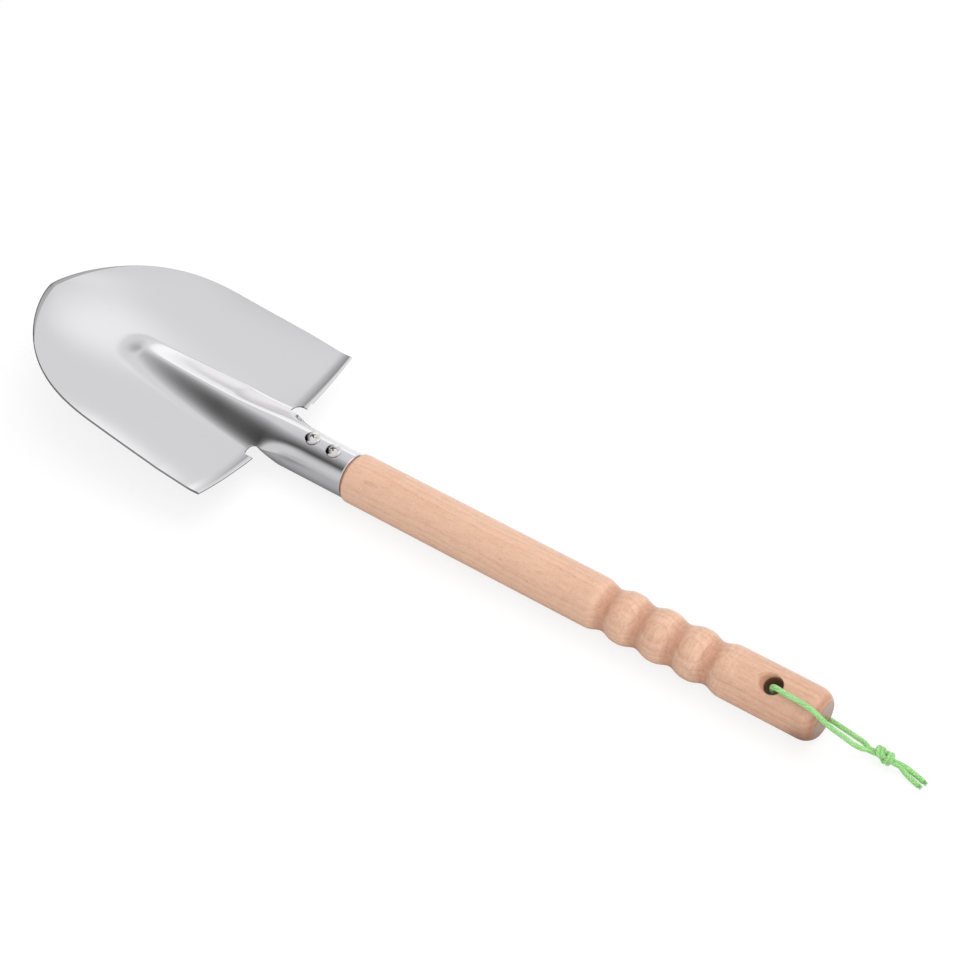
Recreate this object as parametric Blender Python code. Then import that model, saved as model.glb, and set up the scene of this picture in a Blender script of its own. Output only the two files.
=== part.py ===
# Garden trowel: a one-piece pressed steel blade with a rolled socket, a turned wooden handle,
# two cross-head screws and a knotted hanging cord.
# Metres, +Z up. +X runs along the handle to the tip of the blade, and z = 0 is the surface
# that the handle lies on, hollow side of the blade up.
import math

import bmesh
import bpy
from mathutils import Vector

# Handle
HANDLE_RADIUS = 0.0135
HANDLE_LENGTH = 0.2768          # butt to socket rim
GRIP_START = 0.0496             # butt to the first of the finger grooves
GROOVE_COUNT = 4
GROOVE_PITCH = 0.0195
GROOVE_DEPTH = 0.0022
BUTT_FLAT = 0.0094              # radius of the flat on the butt
BUTT_ROUNDING = 0.0076          # length of the rounding behind it
BUTT_CREASE = math.radians(25)  # where the rounding meets the flat
RIM_ROUNDING = 0.0008           # where the wood meets the socket rim
SHANK_LENGTH = 0.0380           # turned-down end inside the socket
SHANK_CHAMFER = 0.0020
HOLE_FROM_BUTT = 0.0256
HOLE_RADIUS = 0.0044
HOLE_TURN = math.radians(21.0)  # turned about the handle, away from the crest of the blade
MOUTH_RADIUS = 0.0064           # countersunk mouths of the hole
MOUTH_SHIFT = 0.0016            # the mouths sit this much nearer the blade than the hole

# Blade, one sheet from the socket rim to the tip
SHEET = 0.0012
HEAD_LENGTH = 0.2071            # socket rim to tip
SOCKET_RADIUS = 0.0125          # outside
SEAM_GAP = 0.0015               # open seam under the socket
NECK_FLARE_START = 0.0180       # rim to where the round socket starts to open into the neck
NECK_END = 0.0520               # rim to where the sheet has become the pressed blade
NECK_HALF = 0.0156              # half width of the neck, measured over the sheet
WING_DROP = 0.0165              # how far the socket's front edge slants back, neck to seam
WING_SLANT = 0.7                # below 1 it slants back sooner
WING_FLARE = 0.0120             # distance over which the flare dies out down the wing
BLADE_WIDTH = 0.1246
WIDEST_AT = 0.0770
SIDE_TAPER = 0.0437             # per unit of length, ahead of the widest place
NOSE_START = 0.1218
NOSE_FULLNESS = 2.59
NOSE_POINT = 1.427
SHOULDER_AT = 0.0485            # rim to the shoulder's inner end
SHOULDER_SLANT = 0.0011
NOTCH_WIDTH = 0.0068            # round notch between the neck and each shoulder
LIP_RUN = 0.0090                # turned-up lip along each shoulder
LIP_RISE = 0.0022
EDGE_HEIGHT = 0.0035            # height of the blade's edge plane over the axis, at the rim
BLADE_TILT = math.radians(7.1)  # the edge plane climbs to the tip
DISH_DEPTH = 0.0070
DISH_CENTRE = 0.0950
DISH_POWER = 2.2
CREST_START = 0.0400
CREST_SLOPE = 0.0525
RIB_NOSE = 0.1500               # rim to the foot of the rib's round nose
RIB_HALF_AT_NECK = 0.0170
RIB_HALF_AT_NOSE = 0.0070
RIB_TOP_POWER = 2.5
RIB_FOOT_POWER = 1.6
GROUND_WIDTH = 0.0023           # sharpened band round the tip
GROUND_LENGTH = 0.0600          # along the outline, from the tip
GROUND_EDGE = 0.00035           # steel left at the sharpened edge

# Screws
SCREW_FROM_RIM = (0.0112, 0.0267)
HEAD_RADIUS = 0.0037
HEAD_FOOT = 0.0036
HEAD_HEIGHT = 0.0023
HEAD_RIM = 0.0005               # height of the head's widest place
HEAD_FULLNESS = 0.8
SCREW_RADIUS = 0.00175
SCREW_LENGTH = 0.0150
SCREW_POINT = 0.4               # share of the radius left at the blunt point
CROSS_HALF_WIDTH = 0.0019
CROSS_SLOT = 0.0009
CROSS_DEPTH = 0.0014
CROSS_DRAFT = 0.45              # size of the slot's bottom against its top

# Cord
CORD_DIAMETER = 0.0025
# Its route, as (distance ahead of the butt, y, height), from inside the hole out to the knot.
UPPER_STRAND = (
    (0.0261, 0.0030, 0.0188), (0.0260, 0.0048, 0.0230), (0.0250, 0.0062, 0.0265),
    (0.0224, 0.0071, 0.0278), (0.0194, 0.0073, 0.0274), (0.0160, 0.0073, 0.0271),
    (0.0121, 0.0073, 0.0270), (0.0079, 0.0075, 0.0268), (0.0034, 0.0081, 0.0268),
    (-0.0018, 0.0088, 0.0251), (-0.0056, 0.0068, 0.0197), (-0.0086, 0.0030, 0.0136),
    (-0.0120, 0.0004, 0.0091), (-0.0161, -0.0007, 0.0061), (-0.0194, -0.0018, 0.0047),
)
LOWER_STRAND = (
    (0.0255, -0.0022, 0.0080), (0.0254, -0.0047, 0.0038), (0.0246, -0.0083, 0.0014),
    (0.0224, -0.0113, 0.0014), (0.0188, -0.0126, 0.0016), (0.0144, -0.0123, 0.0017),
    (0.0094, -0.0116, 0.0018), (0.0039, -0.0109, 0.0018), (-0.0016, -0.0103, 0.0018),
    (-0.0076, -0.0094, 0.0019), (-0.0131, -0.0084, 0.0023), (-0.0171, -0.0073, 0.0031),
    (-0.0196, -0.0062, 0.0038),
)
UPPER_TAIL = (
    (-0.0420, -0.0018, 0.0030), (-0.0451, -0.0005, 0.0022), (-0.0488, 0.0004, 0.0017),
    (-0.0530, 0.0001, 0.0014),
)
LOWER_TAIL = (
    (-0.0420, -0.0058, 0.0030), (-0.0451, -0.0062, 0.0022), (-0.0491, -0.0054, 0.0017),
    (-0.0538, -0.0038, 0.0014),
)
ROUTE_STEP = 0.0026             # between the points of the free route
KNOT_CENTRE = (-0.0307, -0.0041, 0.0051)
KNOT_SQUEEZE = 0.69             # the braid is pressed thinner inside the knot
KNOT_PRESSED = 0.0080           # how far along the knot it is pressed
KNOT_LENGTH = 0.0066
KNOT_LEAD = 0.12                # how far the cords run straight on beyond each end of the knot
KNOT_INNER = 0.0015
KNOT_OUTER = 0.0043
KNOT_FULLNESS = 0.5
KNOT_EASE = 0.3
KNOT_SPACING = 0.0022           # between the two cords in the knot
KNOT_STEPS = 36

# Fits
CLEARANCE = 0.0003
CORD_GAP = 0.0004               # least gap between two turns of the cord

# Resolution
SIDE_SHARE = 0.78               # of the outline that the rows across the blade end on
HANDLE_SIDES = 36
SCREW_SIDES = 24
NECK_COLUMNS = 8
NOTCH_COLUMNS = 6
SHOULDER_COLUMNS = 8
WING_COLUMNS = 10
BLADE_ROWS = 27
LIP_ROWS = 2
SOCKET_ROWS = 14

# Places that follow from the sizes above
AXIS_Z = HANDLE_RADIUS
RIM_X = (HANDLE_LENGTH - HEAD_LENGTH) / 2
BUTT_X = RIM_X - HANDLE_LENGTH
HOLE_X = BUTT_X + HOLE_FROM_BUTT
SOCKET_BORE = SOCKET_RADIUS - SHEET
SHANK_RADIUS = SOCKET_BORE - CLEARANCE
NOTCH_RADIUS = NOTCH_WIDTH / 2
NOTCH_CENTRE = NECK_HALF + NOTCH_RADIUS
NOTCH_OUTER = NECK_HALF + NOTCH_WIDTH
SEAM_V = math.pi * SOCKET_RADIUS - SEAM_GAP / 2
FRONT_ROW = NECK_END + 0.005


def clear_scene():
    for old in list(bpy.data.objects):
        bpy.data.objects.remove(old, do_unlink=True)


def make_material(name, colour, roughness, metallic):
    material = bpy.data.materials.new(name)
    material.use_nodes = True
    shader = material.node_tree.nodes["Principled BSDF"]
    shader.inputs["Base Color"].default_value = (*colour, 1.0)
    shader.inputs["Roughness"].default_value = roughness
    shader.inputs["Metallic"].default_value = metallic
    material.diffuse_color = (*colour, 1.0)
    return material


def add_object(name, data, material, location=(0.0, 0.0, 0.0)):
    obj = bpy.data.objects.new(name, data)
    obj.location = location
    if material:
        data.materials.append(material)
    bpy.context.scene.collection.objects.link(obj)
    return obj


def finish_mesh(name, bm, smooth_angle=math.radians(32)):
    mesh = bpy.data.meshes.new(name)
    bm.to_mesh(mesh)
    bm.free()
    mesh.shade_smooth()
    mesh.set_sharp_from_angle(angle=smooth_angle)
    return mesh


def smoothstep(value):
    value = min(1.0, max(0.0, value))
    return value * value * (3.0 - 2.0 * value)


def lathe(name, profile, sides):
    # Turns (x, radius) points about the X axis; the profile starts and ends on the axis.
    bm = bmesh.new()
    rings = []
    for x, radius in profile:
        if radius < 1e-7:
            rings.append([bm.verts.new((x, 0.0, 0.0))])
            continue
        ring = []
        for side in range(sides):
            angle = 2 * math.pi * side / sides
            ring.append(bm.verts.new((x, radius * math.cos(angle), radius * math.sin(angle))))
        rings.append(ring)
    for near, far in zip(rings, rings[1:]):
        for side in range(sides):
            after = (side + 1) % sides
            corners = [near[side % len(near)], near[after % len(near)]]
            corners += [far[after % len(far)], far[side % len(far)]]
            face = list(dict.fromkeys(corners))
            bm.faces.new(face)
    bmesh.ops.recalc_face_normals(bm, faces=bm.faces[:])
    return finish_mesh(name, bm)


def add_cutter(name, mesh, location, rotation=(0.0, 0.0, 0.0)):
    cutter = add_object(name, mesh, None, location)
    cutter.rotation_mode = "ZYX"
    cutter.rotation_euler = rotation
    cutter.hide_render = True
    cutter.display_type = "WIRE"
    return cutter


def cut(target, cutter):
    modifier = target.modifiers.new(cutter.name, "BOOLEAN")
    modifier.operation = "DIFFERENCE"
    modifier.solver = "EXACT"
    modifier.object = cutter


def half_width(x):
    # Plan outline of the blade: straight tapering sides that close in a blunt point.
    side = BLADE_WIDTH / 2 - SIDE_TAPER * max(0.0, x - WIDEST_AT)
    reach = min(1.0, max(0.0, (x - NOSE_START) / (HEAD_LENGTH - NOSE_START)))
    return side * max(0.0, 1.0 - reach ** NOSE_FULLNESS) ** (1.0 / NOSE_POINT)


def floor_height(x, y):
    # The dished floor, hung from the edge plane.
    edge = EDGE_HEIGHT + math.tan(BLADE_TILT) * x
    if x > DISH_CENTRE:
        along = (x - DISH_CENTRE) / (HEAD_LENGTH - DISH_CENTRE)
    else:
        along = (DISH_CENTRE - x) / DISH_CENTRE
    depth = DISH_DEPTH * max(0.0, 1.0 - along ** DISH_POWER)
    across = min(1.0, abs(y) / max(half_width(x), 1e-6))
    return edge - depth * (1.0 - across ** DISH_POWER)


def crest_height(x):
    return SOCKET_RADIUS + CREST_SLOPE * max(0.0, x - CREST_START)


def rib_half_width(x):
    share = (x - NECK_END) / (RIB_NOSE - RIB_HALF_AT_NOSE - NECK_END)
    share = min(1.0, max(0.0, share))
    return RIB_HALF_AT_NECK + (RIB_HALF_AT_NOSE - RIB_HALF_AT_NECK) * share


def pressed_height(x, y):
    # The floor with the central rib, whose crest runs straight into the socket's top.
    nose_centre = RIB_NOSE - RIB_HALF_AT_NOSE
    station = min(x, nose_centre)
    off_axis = math.hypot(max(0.0, x - nose_centre), y) / rib_half_width(station)
    rise = crest_height(station) - floor_height(station, 0.0)
    form = max(0.0, 1.0 - off_axis ** RIB_TOP_POWER) ** RIB_FOOT_POWER
    return floor_height(x, y) + rise * form


def lip_height(x, y):
    line = SHOULDER_AT + SHOULDER_SLANT
    share = max(0.0, (line + LIP_RUN - x) / LIP_RUN)
    return LIP_RISE * share ** 3 * smoothstep((y - NECK_HALF) / NOTCH_WIDTH)


def blade_point(x, y):
    return Vector((x, y, pressed_height(x, y) + lip_height(x, y)))


def socket_point(x, v):
    angle = v / SOCKET_RADIUS
    return Vector((x, SOCKET_RADIUS * math.sin(angle), SOCKET_RADIUS * math.cos(angle)))


def neck_point(x, v):
    # From the round socket to the pressed blade; v is measured over the sheet from the crest.
    weight = smoothstep((x - NECK_FLARE_START) / (NECK_END - NECK_FLARE_START))
    return socket_point(x, v).lerp(Vector((x, v, pressed_height(x, v))), weight)


def wing_point(x, v):
    # The wings carry the neck's flare a little way down before they close round the handle.
    flare = neck_point(x, NECK_HALF) - socket_point(x, NECK_HALF)
    fade = max(0.0, 1.0 - (v - NECK_HALF) / WING_FLARE) ** 2
    return socket_point(x, v) + flare * fade


def wing_front(v):
    share = max(0.0, (v - NECK_HALF) / (SEAM_V - NECK_HALF))
    return NECK_END - WING_DROP * share ** WING_SLANT


def outline_points(count):
    # The outline from FRONT_ROW to the tip, evenly spaced along its length.
    dense = []
    steps = 600
    for step in range(steps + 1):
        share = math.sin(math.pi / 2 * step / steps)
        x = FRONT_ROW + (HEAD_LENGTH - FRONT_ROW) * share
        dense.append(Vector((x, half_width(x), 0.0)))
    lengths = [0.0]
    for before, after in zip(dense, dense[1:]):
        lengths.append(lengths[-1] + (after - before).length)
    points = []
    place = 0
    for index in range(count + 1):
        wanted = lengths[-1] * index / count
        while place < steps - 1 and lengths[place + 1] < wanted:
            place += 1
        span = lengths[place + 1] - lengths[place]
        points.append(dense[place].lerp(dense[place + 1], (wanted - lengths[place]) / span))
    return points


def across_values():
    # Widths, over the sheet, of the columns from the crest to the side edge at FRONT_ROW.
    values = []
    for column in range(NECK_COLUMNS):
        values.append(NECK_HALF * column / NECK_COLUMNS)
    for column in range(NOTCH_COLUMNS):
        values.append(NECK_HALF + NOTCH_WIDTH * column / NOTCH_COLUMNS)
    edge = half_width(FRONT_ROW)
    inner = edge - GROUND_WIDTH
    for column in range(SHOULDER_COLUMNS):
        values.append(NOTCH_OUTER + (inner - NOTCH_OUTER) * column / (SHOULDER_COLUMNS - 1))
    values.append(edge)
    return values


def add_patch(bm, rows, mirrored):
    # A grid of points becomes faces whose normals point up and out.
    grid = []
    for row in rows:
        line = []
        for point in row:
            side = -point.y if mirrored else point.y
            line.append(bm.verts.new((point.x, side, point.z)))
        grid.append(line)
    for near, far in zip(grid, grid[1:]):
        for index in range(len(near) - 1):
            corners = [near[index], far[index], far[index + 1], near[index + 1]]
            if mirrored:
                corners.reverse()
            bm.faces.new(corners)


def blade_rows():
    # A patch stretched between the row ahead of the notches, the centre line and the outline.
    count = 200
    outline = outline_points(count)
    corner = int(count * SIDE_SHARE)
    side = outline[:corner + 1]
    nose = outline[corner:]
    nose.reverse()

    def along(points, share):
        place = min(len(points) - 2, int(share * (len(points) - 1)))
        return points[place].lerp(points[place + 1], share * (len(points) - 1) - place)

    edge = half_width(FRONT_ROW)
    length = HEAD_LENGTH - FRONT_ROW
    shares = []
    for row in range(BLADE_ROWS):
        shares.append((1.0 - GROUND_WIDTH / length) * row / (BLADE_ROWS - 1))
    shares.append(1.0)
    rows = []
    for s in shares:
        row = []
        for value in across_values():
            t = value / edge
            left = Vector((FRONT_ROW, value, 0.0))
            right = along(nose, t)
            low = Vector((FRONT_ROW + length * s, 0.0, 0.0))
            high = along(side, s)
            start = Vector((FRONT_ROW, 0.0, 0.0))
            point = left * (1 - s) + right * s + low * (1 - t) + high * t
            point -= start * (1 - s) * (1 - t) + nose[0] * s * (1 - t)
            point -= side[0] * (1 - s) * t + nose[-1] * s * t
            row.append(blade_point(point.x, abs(point.y)))
        rows.append(row)
    return rows


def notch_edge(v):
    # The round end of the notch, seen from above.
    if abs(v - NOTCH_CENTRE) >= NOTCH_RADIUS:
        return NECK_END
    return NECK_END + math.sqrt(NOTCH_RADIUS ** 2 - (v - NOTCH_CENTRE) ** 2)


def behind_rows():
    # Between FRONT_ROW and the notches.
    rows = []
    for row in range(LIP_ROWS + 1):
        share = 1.0 - row / LIP_ROWS
        line = []
        for value in across_values():
            x = notch_edge(value) + (FRONT_ROW - notch_edge(value)) * share
            line.append(blade_point(x, value))
        rows.append(line)
    rows.reverse()
    return rows


def shoulder_rows():
    values = across_values()[NECK_COLUMNS + NOTCH_COLUMNS:]
    rows = []
    for row in range(LIP_ROWS + 1):
        line = []
        for value in values:
            slant = SHOULDER_SLANT * (value - NOTCH_OUTER) / (BLADE_WIDTH / 2 - NOTCH_OUTER)
            edge = SHOULDER_AT + slant
            line.append(blade_point(edge + (NECK_END - edge) * row / LIP_ROWS, value))
        rows.append(line)
    return rows


def socket_rows(values, maker):
    rows = []
    for row in range(SOCKET_ROWS + 1):
        share = row / SOCKET_ROWS
        rows.append([maker(wing_front(value) * share, value) for value in values])
    return rows


def ground_share(x, y):
    # How far the edge is sharpened: all of it at the tip, none past GROUND_LENGTH.
    reach = math.hypot(HEAD_LENGTH - x, y)
    return smoothstep(1.0 - reach / GROUND_LENGTH)


def thicken(bm, on_outline):
    # Adds the underside and closes the rim; the top edge is ground down near the tip.
    bm.normal_update()
    rim = [edge for edge in bm.edges if edge.is_boundary]
    normals = {vert: vert.normal.copy() for vert in bm.verts}
    under = {}
    for vert, normal in normals.items():
        under[vert] = bm.verts.new(vert.co - normal * SHEET)
    for face in bm.faces[:]:
        bm.faces.new([under[vert] for vert in reversed(face.verts)])
    for edge in rim:
        loop = edge.link_loops[0]
        first = loop.vert
        second = loop.link_loop_next.vert
        bm.faces.new([second, first, under[first], under[second]])
    for vert, normal in normals.items():
        if on_outline(vert):
            share = ground_share(vert.co.x, vert.co.y)
            vert.co -= normal * (SHEET - GROUND_EDGE) * share


def build_blade(steel):
    bm = bmesh.new()
    columns = across_values()
    neck = columns[:NECK_COLUMNS + 1]
    wing = []
    for column in range(WING_COLUMNS + 1):
        wing.append(NECK_HALF + (SEAM_V - NECK_HALF) * column / WING_COLUMNS)
    for mirrored in (False, True):
        add_patch(bm, blade_rows(), mirrored)
        add_patch(bm, behind_rows(), mirrored)
        add_patch(bm, shoulder_rows(), mirrored)
        add_patch(bm, socket_rows(neck, neck_point), mirrored)
        add_patch(bm, socket_rows(wing, wing_point), mirrored)
    bmesh.ops.remove_doubles(bm, verts=bm.verts[:], dist=1e-6)

    def on_outline(vert):
        if vert.co.x < FRONT_ROW:
            return False
        return abs(vert.co.y) > half_width(vert.co.x) - 1e-5 or vert.co.x > HEAD_LENGTH - 1e-5

    thicken(bm, on_outline)
    blade = add_object("blade", finish_mesh("blade", bm), steel, (RIM_X, 0.0, AXIS_Z))
    for index, place in enumerate(SCREW_FROM_RIM):
        radius = SCREW_RADIUS + CLEARANCE
        reach = SOCKET_RADIUS
        mesh = lathe("clearance", [(-reach / 2, 0), (-reach / 2, radius), (reach / 2, radius),
                                   (reach / 2, 0)], SCREW_SIDES)
        where = (RIM_X + place, 0.0, AXIS_Z + SOCKET_RADIUS)
        cutter = add_cutter(f"blade_hole_{index + 1}", mesh, where, (0.0, math.pi / 2, 0.0))
        cut(blade, cutter)
    return blade


def handle_profile():
    # From the butt to the end of the shank, as (distance from the butt, radius).
    points = [(0.0, 0.0)]
    steps = 7
    long = BUTT_ROUNDING / math.cos(BUTT_CREASE)
    high = (HANDLE_RADIUS - BUTT_FLAT) / (1 - math.sin(BUTT_CREASE))
    for step in range(steps + 1):
        angle = BUTT_CREASE + (math.pi / 2 - BUTT_CREASE) * step / steps
        points.append((BUTT_ROUNDING - long * math.cos(angle),
                       HANDLE_RADIUS - high * (1 - math.sin(angle))))
    per_groove = 6
    for step in range(GROOVE_COUNT * per_groove + 1):
        wave = 0.5 - 0.5 * math.cos(2 * math.pi * step / per_groove)
        points.append((GRIP_START + GROOVE_PITCH * step / per_groove,
                       HANDLE_RADIUS - GROOVE_DEPTH * wave))
    end = HANDLE_LENGTH - CLEARANCE
    points.append((end - RIM_ROUNDING, HANDLE_RADIUS))
    points.append((end - RIM_ROUNDING * 0.3, HANDLE_RADIUS - RIM_ROUNDING * 0.3))
    points.append((end, HANDLE_RADIUS - RIM_ROUNDING))
    points.append((end, SHANK_RADIUS))
    points.append((end + SHANK_LENGTH - SHANK_CHAMFER, SHANK_RADIUS))
    points.append((end + SHANK_LENGTH, SHANK_RADIUS - SHANK_CHAMFER))
    points.append((end + SHANK_LENGTH, 0.0))
    return points


def build_handle(wood):
    mesh = lathe("handle", handle_profile(), HANDLE_SIDES)
    handle = add_object("handle", mesh, wood, (BUTT_X, 0.0, AXIS_Z))
    reach = HANDLE_RADIUS + 0.002
    profile = [(-reach, 0.0), (-reach, HOLE_RADIUS), (reach, HOLE_RADIUS), (reach, 0.0)]
    bore = add_cutter("cord_hole", lathe("cord_hole", profile, SCREW_SIDES),
                      (HOLE_X, 0.0, AXIS_Z), (-HOLE_TURN, -math.pi / 2, 0.0))
    cut(handle, bore)
    throat = HANDLE_RADIUS - MOUTH_RADIUS
    for side in (-1, 1):
        profile = [(side * throat, 0.0), (side * reach, reach - throat), (side * reach, 0.0)]
        mouth = add_cutter("hole_mouth", lathe("hole_mouth", profile, SCREW_SIDES),
                           (HOLE_X + MOUTH_SHIFT, 0.0, AXIS_Z), (-HOLE_TURN, -math.pi / 2, 0.0))
        cut(handle, mouth)
    depth = SCREW_LENGTH + CLEARANCE
    for index, place in enumerate(SCREW_FROM_RIM):
        radius = SCREW_RADIUS + CLEARANCE
        top = SOCKET_RADIUS + CLEARANCE
        bottom = top - depth
        profile = [(bottom, 0.0), (bottom, radius * SCREW_POINT), (bottom + radius, radius)]
        profile += [(top, radius), (top, 0.0)]
        pilot = add_cutter(f"pilot_{index + 1}", lathe("pilot", profile, SCREW_SIDES),
                           (RIM_X + place, 0.0, AXIS_Z), (0.0, -math.pi / 2, 0.0))
        cut(handle, pilot)
    return handle


def wedge(name):
    # One slot of the cross recess: wide at the top, narrowing to the bottom.
    bm = bmesh.new()
    corners = []
    for level, scale in ((CROSS_DEPTH / 2, 1.0), (-CROSS_DEPTH, CROSS_DRAFT)):
        ring = []
        for x, y in ((-1, -1), (1, -1), (1, 1), (-1, 1)):
            across = y * CROSS_SLOT / 2
            ring.append(bm.verts.new((x * CROSS_HALF_WIDTH * scale, across * scale, level)))
        corners.append(ring)
    bm.faces.new(corners[0])
    bm.faces.new(list(reversed(corners[1])))
    for index in range(4):
        after = (index + 1) % 4
        bm.faces.new([corners[0][index], corners[1][index], corners[1][after], corners[0][after]])
    bmesh.ops.recalc_face_normals(bm, faces=bm.faces[:])
    return finish_mesh(name, bm)


def screw_profile():
    # From the point of the shank to the crown of the head.
    point = SCREW_RADIUS - SCREW_LENGTH
    points = [(point, 0.0), (point, SCREW_RADIUS * SCREW_POINT)]
    points += [(point + SCREW_RADIUS, SCREW_RADIUS), (0.0, SCREW_RADIUS), (0.0, HEAD_FOOT)]
    steps = 6
    for step in range(steps):
        angle = math.pi / 2 * step / steps
        points.append((HEAD_RIM + (HEAD_HEIGHT - HEAD_RIM) * math.sin(angle),
                       HEAD_RADIUS * math.cos(angle) ** HEAD_FULLNESS))
    points.append((HEAD_HEIGHT, 0.0))
    return points


def build_screw(index, place, steel):
    name = f"socket_screw_{index + 1}"
    seat = AXIS_Z + SOCKET_RADIUS + CLEARANCE
    screw = add_object(name, lathe(name, screw_profile(), SCREW_SIDES), steel,
                       (RIM_X + place, 0.0, seat))
    screw.rotation_euler = (0.0, -math.pi / 2, 0.0)
    for turn in range(2):
        slot = add_cutter(f"{name}_slot_{turn + 1}", wedge("cross_slot"),
                          (RIM_X + place, 0.0, seat + HEAD_HEIGHT),
                          (0.0, 0.0, math.radians(45 * (2 * turn + 1 + index))))
        cut(screw, slot)
    return screw


def knot_points(side):
    # One of the two cords through the overhand knot, from the handle outwards.
    axis = Vector((-1.0, 0.0, 0.0))
    down = Vector((0.0, 0.0, -1.0))
    across = axis.cross(down)
    centre = []
    outward = []
    for step in range(KNOT_STEPS):
        s = -KNOT_LEAD + (1.0 + 2.0 * KNOT_LEAD) * step / (KNOT_STEPS - 1)
        core = min(5 / 6, max(1 / 6, s))
        along = KNOT_LENGTH / 2 * (3 * math.pi * (s - core) - math.cos(3 * math.pi * core))
        swell = min(1.0, max(0.0, (s - 1 / 6) * 1.5))
        radius = KNOT_INNER
        radius += (KNOT_OUTER - KNOT_INNER) * math.sin(math.pi * swell) ** KNOT_FULLNESS
        share = min(1.0, max(0.0, s))
        angle = 4 * math.pi * share - 2 * KNOT_EASE * math.sin(2 * math.pi * share)
        out = down * math.cos(angle) + across * math.sin(angle)
        outward.append(out)
        centre.append(Vector(KNOT_CENTRE) + axis * along + out * radius)
    points = []
    for index, point in enumerate(centre):
        before = centre[max(0, index - 1)]
        after = centre[min(KNOT_STEPS - 1, index + 1)]
        aside = (after - before).normalized().cross(outward[index]).normalized()
        points.append(point + aside * side * KNOT_SPACING / 2)
    return points


def spline_point(controls, index, t):
    # Uniform cubic B-spline.
    before, start, end, after = controls[index:index + 4]
    point = before * (1 - t) ** 3 + start * (3 * t ** 3 - 6 * t ** 2 + 4)
    return (point + end * (3 * t * (1 + t - t ** 2) + 1) + after * t ** 3) / 6


def cord_route():
    # From the end of one tail, through the knot, the hole and the knot again, to the other end.
    halves = []
    for strand, tail, side in ((UPPER_STRAND, UPPER_TAIL, -1), (LOWER_STRAND, LOWER_TAIL, 1)):
        halves.append([Vector(point) for point in strand])
        halves[-1] += knot_points(side)
        halves[-1] += [Vector(point) for point in tail]
    halves[0].reverse()
    middle = Vector((HOLE_FROM_BUTT, 0.0, AXIS_Z))
    controls = halves[0] + [middle] + halves[1]
    controls.insert(0, controls[0] * 2 - controls[1])
    controls.append(controls[-1] * 2 - controls[-2])
    route = []
    for index in range(len(controls) - 3):
        start = controls[index + 1]
        end = controls[index + 2]
        steps = max(2, math.ceil((end - start).length / ROUTE_STEP))
        for step in range(steps):
            route.append(spline_point(controls, index, step / steps))
    route.append(controls[-2])
    return [Vector((BUTT_X, 0.0, 0.0)) + point for point in route]


def cord_share(point):
    # The share of its full diameter that the cord has here.
    away = abs(point.x - BUTT_X - KNOT_CENTRE[0]) - KNOT_PRESSED
    return KNOT_SQUEEZE + (1.0 - KNOT_SQUEEZE) * smoothstep(away / (KNOT_PRESSED / 2))


def least_gap(route):
    # Between parts of the cord that are not neighbours along it.
    travelled = [0.0]
    for before, after in zip(route, route[1:]):
        travelled.append(travelled[-1] + (after - before).length)
    least = 1.0
    for index, point in enumerate(route):
        for other in range(index + 1, len(route)):
            if travelled[other] - travelled[index] > 3 * CORD_DIAMETER:
                reach = (cord_share(point) + cord_share(route[other])) * CORD_DIAMETER / 2
                least = min(least, (point - route[other]).length - reach)
    return least, travelled[-1]


def build_cord(braid):
    route = cord_route()
    curve = bpy.data.curves.new("hanging_cord", "CURVE")
    curve.dimensions = "3D"
    curve.bevel_depth = CORD_DIAMETER / 2
    curve.bevel_resolution = 2
    curve.use_fill_caps = True
    spline = curve.splines.new("POLY")
    spline.points.add(len(route) - 1)
    for place, point in zip(spline.points, route):
        place.co = (*point, 1.0)
        place.radius = cord_share(point)
    gap, length = least_gap(route)
    print(f"cord length {length:.4f} m, least gap to itself {gap * 1000:.2f} mm")
    if gap < CORD_GAP:
        raise ValueError("the cord comes too close to itself")
    return add_object("hanging_cord", curve, braid)


def main():
    clear_scene()
    steel = make_material("pressed_steel", (0.70, 0.70, 0.71), 0.28, 1.0)
    wood = make_material("beech", (0.78, 0.53, 0.37), 0.55, 0.0)
    bright = make_material("bright_steel", (0.80, 0.79, 0.77), 0.15, 1.0)
    braid = make_material("green_braid", (0.33, 0.73, 0.30), 0.75, 0.0)
    build_blade(steel)
    build_handle(wood)
    for index, place in enumerate(SCREW_FROM_RIM):
        build_screw(index, place, bright)
    build_cord(braid)


main()
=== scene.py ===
# Garden trowel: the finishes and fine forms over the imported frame.
import math

import bmesh
import bpy
from mathutils import Matrix, Vector


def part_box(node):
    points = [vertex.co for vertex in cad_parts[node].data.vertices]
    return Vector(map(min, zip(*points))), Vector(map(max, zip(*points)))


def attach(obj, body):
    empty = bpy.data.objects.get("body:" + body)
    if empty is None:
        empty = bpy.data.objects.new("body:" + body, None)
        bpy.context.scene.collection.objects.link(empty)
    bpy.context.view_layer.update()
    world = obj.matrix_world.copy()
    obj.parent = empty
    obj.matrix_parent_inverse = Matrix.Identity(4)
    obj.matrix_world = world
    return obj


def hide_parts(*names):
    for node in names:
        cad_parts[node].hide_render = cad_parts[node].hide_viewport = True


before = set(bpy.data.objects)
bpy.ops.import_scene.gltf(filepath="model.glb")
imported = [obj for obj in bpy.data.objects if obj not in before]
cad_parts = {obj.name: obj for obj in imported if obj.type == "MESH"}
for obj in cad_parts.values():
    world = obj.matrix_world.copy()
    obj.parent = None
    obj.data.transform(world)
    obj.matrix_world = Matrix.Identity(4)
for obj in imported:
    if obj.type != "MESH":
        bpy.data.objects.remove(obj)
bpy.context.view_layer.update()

bladeLow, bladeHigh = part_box("blade")
handleLow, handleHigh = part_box("handle")
rimX = bladeLow[0]  # socket rim, where the wood meets the steel
axisZ = (handleLow[2] + handleHigh[2]) / 2
buttX = handleLow[0]
handleRadius = (handleHigh[2] - handleLow[2]) / 2
fullTurn = 2 * math.pi
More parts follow.
